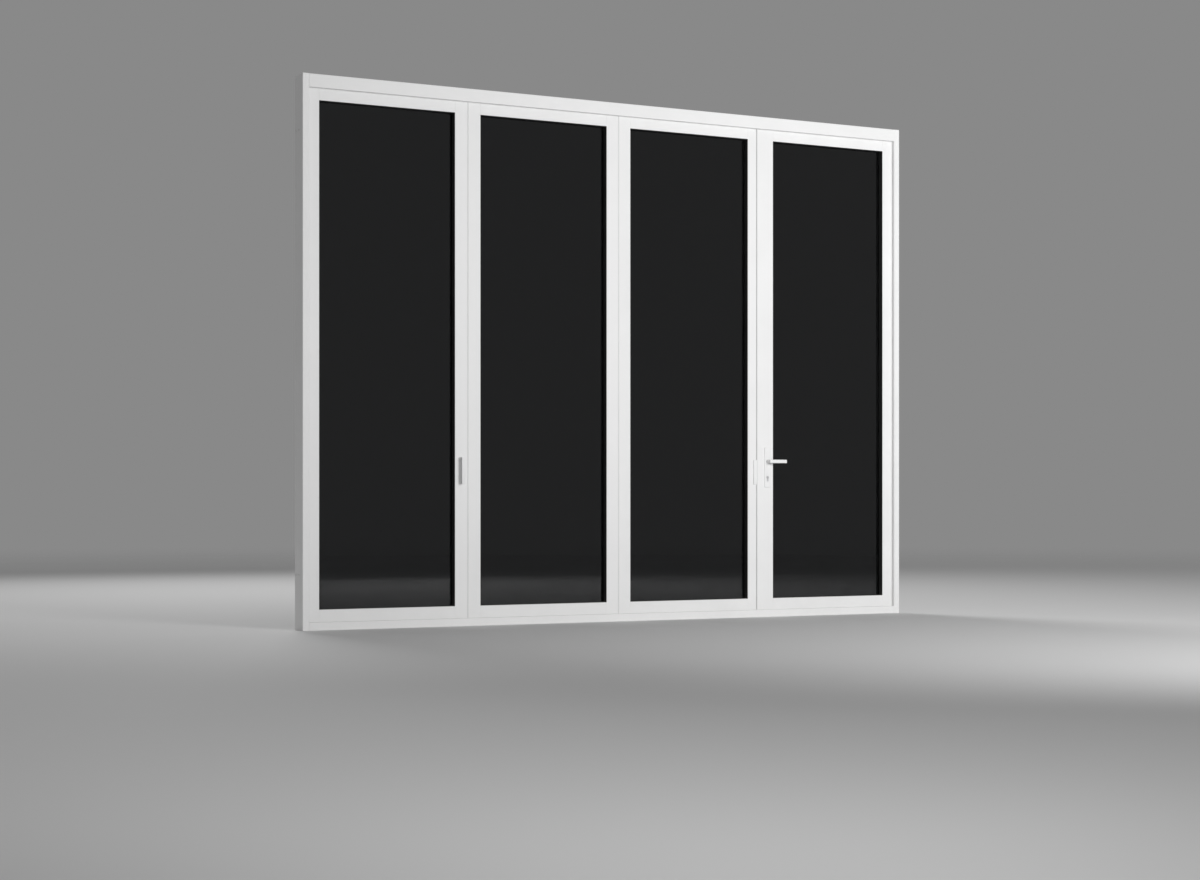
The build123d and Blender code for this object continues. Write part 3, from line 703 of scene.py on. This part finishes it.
def ease_edges(shape, width):
    """Bevel every edge of a shape by a small width."""
    bmesh.ops.recalc_face_normals(shape, faces=shape.faces)
    bmesh.ops.bevel(shape, geom=shape.edges[:], offset=width, segments=1, affect="EDGES")


def keep_shape(name, shape, materials, body):
    """Turn a finished shape into a piece that rides on a body."""
    bmesh.ops.recalc_face_normals(shape, faces=shape.faces)
    mesh = bpy.data.meshes.new(name)
    shape.to_mesh(mesh)
    shape.free()
    for material in materials:
        mesh.materials.append(material)
    piece = add_object(name, mesh)
    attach(piece, body)
    print(name, "on", body, len(mesh.polygons), "faces")
    return piece


def make_lock_bolts():
    """The latch with its slanted nose, and the dead bolt below it."""
    shape = bmesh.new()
    front_y = faceplate_mid.y - BOLT_WIDTH / 2
    back_y = faceplate_mid.y + BOLT_WIDTH / 2
    root_x = faceplate_low.x + LATCH_PROUD / 2
    latch_outline = (
        (root_x, front_y),
        (root_x, back_y),
        (faceplate_low.x - DEADBOLT_PROUD / 2, back_y),
        (faceplate_low.x - LATCH_PROUD, front_y + LATCH_NOSE_WIDTH),
        (faceplate_low.x - LATCH_PROUD, front_y),
    )
    add_prism(shape, latch_outline, latch_z - LATCH_HEIGHT / 2, latch_z + LATCH_HEIGHT / 2)
    nose_x = faceplate_low.x - DEADBOLT_PROUD
    deadbolt_outline = ((root_x, front_y), (root_x, back_y), (nose_x, back_y), (nose_x, front_y))
    add_prism(shape, deadbolt_outline, deadbolt_z - DEADBOLT_HEIGHT / 2, deadbolt_z + DEADBOLT_HEIGHT / 2)
    ease_edges(shape, BOLT_EASE)
    return keep_shape("lock_bolts", shape, [brushed_steel], "access_door")


def make_lock_keep():
    """A thin plate with a window for each bolt, and a flat black sheet in each window, painted shade for the
    hollow pocket behind it.
    """
    shape = bmesh.new()
    face_x = keep_x + KEEP_THICKNESS
    half_window = BOLT_WIDTH / 2 + WINDOW_MARGIN
    depths = [faceplate_mid.y + step for step in (-KEEP_WIDTH / 2, -half_window, half_window, KEEP_WIDTH / 2)]
    heights = [faceplate_mid.z - KEEP_HEIGHT / 2]
    for bolt_z, bolt_height in ((deadbolt_z, DEADBOLT_HEIGHT), (latch_z, LATCH_HEIGHT)):
        heights += [bolt_z - bolt_height / 2 - WINDOW_MARGIN, bolt_z + bolt_height / 2 + WINDOW_MARGIN]
    heights.append(faceplate_mid.z + KEEP_HEIGHT / 2)
    grid = [[shape.verts.new((keep_x, depth, height)) for depth in depths] for height in heights]
    for row in range(len(heights) - 1):
        for column in range(len(depths) - 1):
            if column == WINDOW_COLUMN and row in WINDOW_ROWS:
                continue
            low_side = (grid[row][column], grid[row][column + 1])
            high_side = (grid[row + 1][column + 1], grid[row + 1][column])
            shape.faces.new(low_side + high_side)
    raised = bmesh.ops.extrude_face_region(shape, geom=shape.faces[:], use_keep_orig=True)
    for item in raised["geom"]:
        if isinstance(item, bmesh.types.BMVert):
            item.co.x = face_x
    # Painted shade: a thin black sheet lies in each window in place of the dark hollow pocket behind it.
    shade_sheet_x = keep_x + SHADE_SHEET_THICKNESS
    near_y, far_y = depths[WINDOW_COLUMN], depths[WINDOW_COLUMN + 1]
    shade_sheet = ((keep_x, near_y), (keep_x, far_y), (shade_sheet_x, far_y), (shade_sheet_x, near_y))
    for row in WINDOW_ROWS:
        add_prism(shape, shade_sheet, heights[row], heights[row + 1], material=1)
    return keep_shape("lock_keep", shape, [brushed_steel, black_plastic], "frame")


make_lock_bolts()
make_lock_keep()

# %% [markdown]
# ## Plug of the lock cylinder
#
# The key turns a round plug inside the cylinder, and a fine raised ring shows where the plug ends, on both
# sides of the door. It is a lathe shape: four points of a section, repeated around the plug's axis.

# %% Plug of the lock cylinder
CYLINDER_RADIUS = 0.0085
PLUG_RINGS = ((0.0056, -0.0003), (0.0058, 0.0004), (0.0066, 0.0004), (0.0068, -0.0003))
PLUG_STEPS = 40

cylinder_low, cylinder_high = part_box("key_cylinder")


def add_lathe(shape, centre, facing, section):
    """A ring about an axis along Y: section holds (radius, rise) pairs, rise counted along the facing."""
    rings = []
    for step in range(PLUG_STEPS):
        angle = 2 * math.pi * step / PLUG_STEPS
        around = Vector((math.cos(angle), 0.0, math.sin(angle)))
        rings.append([shape.verts.new(centre + around * radius + facing * rise) for radius, rise in section])
    for step in range(PLUG_STEPS):
        here, following = rings[step], rings[(step + 1) % PLUG_STEPS]
        for index in range(len(section)):
            beyond = (index + 1) % len(section)
            shape.faces.new((here[index], following[index], following[beyond], here[beyond]))


def make_plug_rings():
    """The ring around the plug on the room side and on the outer side."""
    shape = bmesh.new()
    plug_x = (cylinder_low.x + cylinder_high.x) / 2
    plug_z = cylinder_high.z - CYLINDER_RADIUS
    for y, facing in ((cylinder_low.y, -1.0), (cylinder_high.y, 1.0)):
        add_lathe(shape, Vector((plug_x, y, plug_z)), Vector((0.0, facing, 0.0)), PLUG_RINGS)
    return keep_shape("cylinder_plug_rings", shape, [brushed_steel], "access_door")


make_plug_rings()

# %% [markdown]
# ## Screws
#
# Every hinge flap, the faceplate, the keep and the pull handle are held by low round screws with a hexagon
# socket. One tree makes the head as a short cone, cuts the socket with a Boolean, and stands a copy on each
# seed point. A bump could fake the socket, but the light catches a real one from every side.

# %% Tree: screws
HEAD_SIDES = 20
SOCKET_SIDES = 6
CROWN_SHARE = 0.74
SCREW_SIZES = {"Head Radius": 0.0038, "Head Rise": 0.0014, "Socket Radius": 0.002, "Socket Depth": 0.001}


def make_screw_tree():
    """Low round heads with a hexagon socket, standing along each point's facing."""
    tree, given, result = start_shape_tree("flap_screws", "Points", SCREW_SIZES)
    crown = place(
        tree, "ShaderNodeMath", {0: given.outputs["Head Radius"], 1: CROWN_SHARE}, operation="MULTIPLY"
    )
    head = place(
        tree,
        "GeometryNodeMeshCone",
        {
            "Vertices": HEAD_SIDES,
            "Radius Top": crown.outputs[0],
            "Radius Bottom": given.outputs["Head Radius"],
            "Depth": given.outputs["Head Rise"],
        },
    )
    cutter_depth = place(
        tree, "ShaderNodeMath", {0: given.outputs["Socket Depth"], 1: 2.0}, operation="MULTIPLY"
    )
    cutter = place(
        tree,
        "GeometryNodeMeshCylinder",
        {
            "Vertices": SOCKET_SIDES,
            "Radius": given.outputs["Socket Radius"],
            "Depth": cutter_depth.outputs[0],
        },
    )
    crown_height = place(tree, "ShaderNodeCombineXYZ", {"Z": given.outputs["Head Rise"]})
    raised = place(
        tree,
        "GeometryNodeTransform",
        {"Geometry": cutter.outputs["Mesh"], "Translation": crown_height.outputs["Vector"]},
    )
    cut = place(
        tree,
        "GeometryNodeMeshBoolean",
        {"Mesh 1": head.outputs["Mesh"], "Mesh 2": raised.outputs["Geometry"]},
        operation="DIFFERENCE",
        solver="EXACT",
    )
    screws = stand_on_points(tree, given.outputs["Points"], cut.outputs["Mesh"])
    end_shape_tree(tree, result, screws, brushed_steel)
    return tree


screw_tree = make_screw_tree()
print("tree", screw_tree.name)

# %% Screws on their seats
FLAP_THICKNESS = 0.003
FLAP_END_MARGIN = 0.017
FLAP_OUTER_SCREW = 0.009
FLAP_INNER_SCREW = 0.022
STRIP_SCREW_Y = 0.0062
STRIP_SCREW_STEPS = (0.014, 0.038)
PULL_PLATE_SCREW_X = 0.0145
PULL_PLATE_MARGIN = 0.026
FACEPLATE_MARGIN = 0.010
KEEP_MARGIN = 0.012
TO_OUTSIDE = Vector((0.0, 1.0, 0.0))
TO_ROOM = Vector((0.0, -1.0, 0.0))
TO_LEFT = Vector((-1.0, 0.0, 0.0))
TO_RIGHT = Vector((1.0, 0.0, 0.0))


def flap_spots(node, edge_sides):
    """Two rows of screws beside the free edges of each hinge's flaps on the leaf's outer face."""
    spots = []
    for low, high in island_boxes(node):
        for edge_side in edge_sides:
            for inward in (FLAP_OUTER_SCREW, FLAP_INNER_SCREW):
                x = low.x + inward if edge_side < 0 else high.x - inward
                for z in (low.z + FLAP_END_MARGIN, high.z - FLAP_END_MARGIN):
                    spots.append((Vector((x, low.y + FLAP_THICKNESS, z)), TO_OUTSIDE))
    return spots


def jamb_strip_spots():
    """Screws in the access hinges' strips on the jamb, above the lower knuckle."""
    spots = []
    for low, high in island_boxes("access_hinge_frame_flaps"):
        for step in STRIP_SCREW_STEPS:
            spot = Vector((high.x - FLAP_THICKNESS, high.y - STRIP_SCREW_Y, high.z - step))
            spots.append((spot, TO_LEFT))
    return spots


def pair_spots(x, y, low_z, high_z, margin, facing):
    """One screw near each end of an upright plate."""
    return [(Vector((x, y, z)), facing) for z in (low_z + margin, high_z - margin)]


pull_low, pull_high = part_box("fold_pull_handle")
frame_spots = flap_spots("left_jamb_hinges", (1,)) + flap_spots("fold_hinges", (-1, 1)) + jamb_strip_spots()
frame_spots += pair_spots(
    pull_low.x + PULL_PLATE_SCREW_X,
    pull_high.y - FLAP_THICKNESS,
    pull_low.z,
    pull_high.z,
    PULL_PLATE_MARGIN,
    TO_ROOM,
)
frame_spots += pair_spots(
    keep_x + KEEP_THICKNESS,
    faceplate_mid.y,
    faceplate_mid.z - KEEP_HEIGHT / 2,
    faceplate_mid.z + KEEP_HEIGHT / 2,
    KEEP_MARGIN,
    TO_RIGHT,
)
door_spots = flap_spots("access_hinge_leaf_flaps", (-1,))
door_spots += pair_spots(
    faceplate_low.x, faceplate_mid.y, faceplate_low.z, faceplate_high.z, FACEPLATE_MARGIN, TO_LEFT
)
for body, spots in (("frame", frame_spots), ("access_door", door_spots)):
    name = body + "_screws"
    grow(name, screw_tree, point_seed(name, spots), SCREW_SIZES, body, "steel")

# %% [markdown]
# ## Rubber bulbs: behind the stops and in the meeting joint
#
# A hollow rubber bulb runs all round the back of the stops, and the leaves press on it when they close. A
# second one stands on the third leaf's edge, against the flat seal of the access leaf. Each is one round
# section drawn along one line, so the tree turns edges into a curve, rounds the corners as a fitter bends
# the rubber, and sweeps the bulb along it.

# %% Tree: rubber bulb
SEAL_SIDES = 14
SEAL_CORNER_STEPS = 5
SEAL_RADIUS = 0.0022
SEAL_INSET = 0.004
SEAL_CORNER = 0.008
MEETING_RADIUS = 0.0023
MEETING_SETBACK = 0.0015
JAMB_STOP_FACE = 0.038
HEAD_STOP_FACE = 0.072
SILL_STOP_FACE = 0.044

stop_low, stop_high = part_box("front_stops")


def make_bulb_tree():
    """A round rubber bulb along a line with rounded corners, its ends closed."""
    sizes = {"Bulb Radius": SEAL_RADIUS, "Corner Radius": SEAL_CORNER}
    tree, given, result = start_shape_tree("rubber_bulb", "Line", sizes)
    line = place(tree, "GeometryNodeMeshToCurve", {"Mesh": given.outputs["Line"]})
    bent = place(
        tree,
        "GeometryNodeFilletCurve",
        {
            "Curve": line.outputs["Curve"],
            "Count": SEAL_CORNER_STEPS,
            "Radius": given.outputs["Corner Radius"],
        },
        mode="POLY",
    )
    bulb = place(
        tree,
        "GeometryNodeCurvePrimitiveCircle",
        {"Resolution": SEAL_SIDES, "Radius": given.outputs["Bulb Radius"]},
    )
    swept = place(
        tree,
        "GeometryNodeCurveToMesh",
        {"Curve": bent.outputs["Curve"], "Profile Curve": bulb.outputs["Curve"], "Fill Caps": True},
    )
    end_shape_tree(tree, result, swept.outputs["Mesh"], grey_rubber)
    return tree


def seal_line():
    """A rectangle of edges just behind the inner edges of the four stops."""
    left = stop_low.x + JAMB_STOP_FACE - SEAL_INSET
    right = stop_high.x - JAMB_STOP_FACE + SEAL_INSET
    bottom = stop_low.z + SILL_STOP_FACE - SEAL_INSET
    top = stop_high.z - HEAD_STOP_FACE + SEAL_INSET
    y = stop_high.y + SEAL_RADIUS
    mesh = bpy.data.meshes.new("seal_line")
    corners = [(left, y, bottom), (right, y, bottom), (right, y, top), (left, y, top)]
    mesh.from_pydata(corners, [(0, 1), (1, 2), (2, 3), (3, 0)], [])
    return mesh


def meeting_line():
    """One upright line beside the third leaf's edge, as tall as the leaf."""
    leaf_low, leaf_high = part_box("leaf_3_stiles")
    x = leaf_high.x + MEETING_RADIUS
    y = leaf_low.y + MEETING_SETBACK + MEETING_RADIUS
    mesh = bpy.data.meshes.new("meeting_line")
    mesh.from_pydata([(x, y, leaf_low.z), (x, y, leaf_high.z)], [(0, 1)], [])
    return mesh


bulb_tree = make_bulb_tree()
for name, line, radius in (
    ("stop_seal", seal_line(), SEAL_RADIUS),
    ("meeting_seal", meeting_line(), MEETING_RADIUS),
):
    sizes = {"Bulb Radius": radius, "Corner Radius": SEAL_CORNER}
    grow(name, bulb_tree, line, sizes, "frame", "grey_rubber")

# %% [markdown]
# ## Drain hoods
#
# Rain that gets into the sill runs out through slots in its outer face, and each slot has a small moulded
# hood against the wind. One hood is a rounded plate, raised with sloping sides, with a shallow flap sunk in
# its face. The tree builds it from a rounded rectangle with two extrusions and sets it along the sill.

# %% Tree: drain hoods
HOOD_CORNER_STEPS = 4
HOOD_TAPER = 0.88
FLAP_SHARE = 0.78
HOOD_COUNT = 5
HOOD_END_MARGIN = 0.22
HOOD_SIZES = {
    "Hood Width": 0.036,
    "Hood Height": 0.010,
    "Hood Rise": 0.003,
    "Corner Radius": 0.003,
    "Flap Depth": -0.0008,
}


def make_hood_tree():
    """Rounded hoods with a sunk flap, one on each point."""
    tree, given, result = start_shape_tree("drain_hoods", "Points", HOOD_SIZES)
    outline = place(
        tree,
        "GeometryNodeCurvePrimitiveQuadrilateral",
        {"Width": given.outputs["Hood Width"], "Height": given.outputs["Hood Height"]},
    )
    rounded = place(
        tree,
        "GeometryNodeFilletCurve",
        {
            "Curve": outline.outputs["Curve"],
            "Count": HOOD_CORNER_STEPS,
            "Radius": given.outputs["Corner Radius"],
        },
        mode="POLY",
    )
    plate = place(tree, "GeometryNodeFillCurve", {"Curve": rounded.outputs["Curve"]}, mode="NGONS")
    shape = plate.outputs["Mesh"]
    top = None
    steps = (
        (given.outputs["Hood Rise"], HOOD_TAPER),
        (0.0, FLAP_SHARE),
        (given.outputs["Flap Depth"], 1.0),
    )
    for offset, share in steps:
        raised = place(
            tree, "GeometryNodeExtrudeMesh", {"Mesh": shape, "Offset Scale": offset}, mode="FACES"
        )
        if top is not None:
            tree.links.new(top, raised.inputs["Selection"])
        top = raised.outputs["Top"]
        shape = place(
            tree,
            "GeometryNodeScaleElements",
            {"Geometry": raised.outputs["Mesh"], "Selection": top, "Scale": share},
            domain="FACE",
        ).outputs["Geometry"]
    back = place(tree, "GeometryNodeFlipFaces", {"Mesh": plate.outputs["Mesh"]})
    joined = place(tree, "GeometryNodeJoinGeometry")
    tree.links.new(shape, joined.inputs["Geometry"])
    tree.links.new(back.outputs["Mesh"], joined.inputs["Geometry"])
    closed = place(
        tree,
        "GeometryNodeMergeByDistance",
        {"Geometry": joined.outputs["Geometry"], "Distance": MERGE_DISTANCE},
    )
    hoods = stand_on_points(tree, given.outputs["Points"], closed.outputs["Geometry"])
    end_shape_tree(tree, result, hoods, white_coat)
    return tree


sill_low, sill_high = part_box("sill")
hood_run = sill_high.x - sill_low.x - 2 * HOOD_END_MARGIN
hood_spots = []
for index in range(HOOD_COUNT):
    hood_x = sill_low.x + HOOD_END_MARGIN + hood_run * index / (HOOD_COUNT - 1)
    hood_spots.append((Vector((hood_x, sill_high.y, (sill_low.z + sill_high.z) / 2)), TO_OUTSIDE))
hood_seed = point_seed("drain_hoods", hood_spots)
grow("drain_hoods", make_hood_tree(), hood_seed, HOOD_SIZES, "frame", "white_coat")

# %% [markdown]
# ## End caps
#
# The jambs and the upright stops are hollow profiles that run to the top of the frame, and a plastic cap is
# pressed into each open end. A cap is a block that fits the hollow with a hair of room, eased along its
# edges, with a shallow finger groove across it. Leaving the tubes open would show bare cut ends from above.

# %% End caps
JAMB_WALL = 0.0025
SIDE_STEP = 0.0025
TOP_STEP = 0.004
STOP_WALL = 0.002
CAP_ROOM = 0.0002
CAP_DEPTH = 0.006
CAP_SINK = 0.0005
CAP_EASE = 0.0006
GROOVE_DEPTH = 0.0015
GROOVE_SHARE = 0.25


def add_cap(shape, low_x, high_x, low_y, high_y, top):
    """A cap across a hollow, with a groove along its middle."""
    middle = (low_y + high_y) / 2
    half_groove = (high_y - low_y) * GROOVE_SHARE / 2
    steps = [
        (low_y, top - CAP_DEPTH),
        (high_y, top - CAP_DEPTH),
        (high_y, top),
        (middle + half_groove, top),
        (middle + half_groove - GROOVE_DEPTH, top - GROOVE_DEPTH),
        (middle - half_groove + GROOVE_DEPTH, top - GROOVE_DEPTH),
        (middle - half_groove, top),
        (low_y, top),
    ]
    left_ring = [shape.verts.new((low_x, y, z)) for y, z in steps]
    right_ring = [shape.verts.new((high_x, y, z)) for y, z in steps]
    shape.faces.new(left_ring)
    shape.faces.new(right_ring)
    for index in range(len(steps)):
        following = (index + 1) % len(steps)
        left_side = (left_ring[index], left_ring[following])
        right_side = (right_ring[following], right_ring[index])
        shape.faces.new(left_side + right_side)


def make_end_caps():
    """Caps in both jambs and both upright stops."""
    shape = bmesh.new()
    for node, outer_wall, inner_wall in (
        ("left_jamb", JAMB_WALL + SIDE_STEP, JAMB_WALL),
        ("right_jamb", JAMB_WALL, JAMB_WALL + SIDE_STEP),
    ):
        low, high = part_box(node)
        add_cap(
            shape,
            low.x + outer_wall + CAP_ROOM,
            high.x - inner_wall - CAP_ROOM,
            low.y + JAMB_WALL + CAP_ROOM,
            high.y - JAMB_WALL - CAP_ROOM,
            high.z - TOP_STEP - CAP_SINK,
        )
    for low_x in (stop_low.x, stop_high.x - JAMB_STOP_FACE):
        add_cap(
            shape,
            low_x + STOP_WALL + CAP_ROOM,
            low_x + JAMB_STOP_FACE - STOP_WALL - CAP_ROOM,
            stop_low.y + STOP_WALL + CAP_ROOM,
            stop_high.y - STOP_WALL - CAP_ROOM,
            stop_high.z - CAP_SINK,
        )
    ease_edges(shape, CAP_EASE)
    return keep_shape("profile_end_caps", shape, [black_plastic], "frame")


make_end_caps()

# %% [markdown]
# ## Floor and background
#
# The floor is a wide pale disc whose rim fades out, so that no hard horizon cuts the picture. The
# background is a plain grey that the camera, mirrors and glass all see, while the light that the sky gives
# to the door is set apart from it.

# %% Floor
FLOOR_RADIUS = 30.0
FLOOR_FADE_START = 4.0
FLOOR_FADE_END = 22.0
FLOOR_COLOUR = (0.78, 0.78, 0.78, 1.0)
FLOOR_SIDES = 96


def make_floor_finish():
    """A pale matt floor that fades away towards its rim."""
    material, tree, shader = start_material("pale_floor")
    set_input(shader, Base_Color=FLOOR_COLOUR, Roughness=0.95, Specular_IOR_Level=0.1)
    where = place(tree, "ShaderNodeTexCoord").outputs["Object"]
    distance = place(tree, "ShaderNodeVectorMath", {0: where}, operation="LENGTH")
    solid = place(
        tree,
        "ShaderNodeMapRange",
        {
            "Value": distance.outputs["Value"],
            "From Min": FLOOR_FADE_START,
            "From Max": FLOOR_FADE_END,
            "To Min": 1.0,
            "To Max": 0.0,
        },
        interpolation_type="SMOOTHSTEP",
    )
    tree.links.new(solid.outputs["Result"], shader.inputs["Alpha"])
    return material


floor_mesh = bpy.data.meshes.new("studio_floor")
floor_shape = bmesh.new()
bmesh.ops.create_circle(floor_shape, cap_ends=True, segments=FLOOR_SIDES, radius=FLOOR_RADIUS)
floor_shape.to_mesh(floor_mesh)
floor_shape.free()
floor_mesh.materials.append(make_floor_finish())
floor = add_object("studio_floor", floor_mesh)
print("floor radius", FLOOR_RADIUS)

# %% Background
BACKGROUND_GREY = (0.25, 0.25, 0.25, 1.0)
SKY_LIGHT = (1.0, 1.0, 1.0, 1.0)
SKY_STRENGTH = 0.235

world = bpy.data.worlds.new("studio_world")
scene.world = world
world.use_nodes = True
sky = world.node_tree
sky.nodes.clear()
path = place(sky, "ShaderNodeLightPath")
camera_or_mirror = place(
    sky,
    "ShaderNodeMath",
    {0: path.outputs["Is Camera Ray"], 1: path.outputs["Is Glossy Ray"]},
    operation="MAXIMUM",
)
seen = place(
    sky,
    "ShaderNodeMath",
    {0: camera_or_mirror.outputs[0], 1: path.outputs["Is Transmission Ray"]},
    operation="MAXIMUM",
)
light = place(sky, "ShaderNodeBackground", {"Color": SKY_LIGHT, "Strength": SKY_STRENGTH})
backdrop = place(sky, "ShaderNodeBackground", {"Color": BACKGROUND_GREY, "Strength": 1.0})
choice = place(
    sky,
    "ShaderNodeMixShader",
    {0: seen.outputs[0], 1: light.outputs["Background"], 2: backdrop.outputs["Background"]},
)
place(sky, "ShaderNodeOutputWorld", {"Surface": choice.outputs["Shader"]})
print("background", BACKGROUND_GREY[0], "sky strength", SKY_STRENGTH)

# %% [markdown]
# ## Lights
#
# A large soft key lamp stands in front of the door and is turned towards its lock side, so the door brightens
# to the right while the stops throw no wide shadow on the leaves. Its beam is narrowed, as by a grid, so that
# the floor below it doesn't burn out. A weak fill stands on the left, and a third lamp, high behind the door,
# shows the outer side in other views. The key lamp's mirror image would lie in the first panes, so light
# linking keeps that lamp off the glass, as a studio does with a black flag. It still glints on the handles.

# %% Lights
# Each lamp: name, place, aim, width in metres, power in watts, beam in degrees.
LAMPS = (
    ("key_lamp", Vector((0.7, -8.0, 2.7)), Vector((3.2, 0.0, 2.5)), 3.6, 216.0, 114.0),
    ("fill_lamp", Vector((-4.6, -9.4, 1.5)), Vector((-1.4, 0.0, 0.7)), 2.6, 36.0, 112.0),
    ("back_lamp", Vector((0.5, 9.0, 7.4)), Vector((0.0, 0.0, 1.4)), 5.0, 235.0, 120.0),
)

panes = bpy.data.collections.new("panes_without_key_light")
for node, slot in SLOT_OF.items():
    if slot == "glass":
        panes.objects.link(nodes[node])
for member in panes.collection_objects:
    member.light_linking.link_state = "EXCLUDE"

for name, spot, aim, size, power, beam in LAMPS:
    lamp_data = bpy.data.lights.new(name, "AREA")
    lamp_data.shape = "DISK"
    lamp_data.size = size
    lamp_data.energy = power
    lamp_data.spread = math.radians(beam)
    lamp = bpy.data.objects.new(name, lamp_data)
    lamp.visible_camera = False
    if name == "key_lamp":
        lamp.light_linking.receiver_collection = panes
    lamp.location = spot
    lamp.rotation_euler = (aim - spot).to_track_quat("-Z", "Y").to_euler()
    scene.collection.objects.link(lamp)
print("lamps", [entry[0] for entry in LAMPS])

# %% [markdown]
# ## Finish
#
# The view transform is Standard, so a colour renders about as it is written.

# %% Finish
scene.view_settings.view_transform = "Standard"
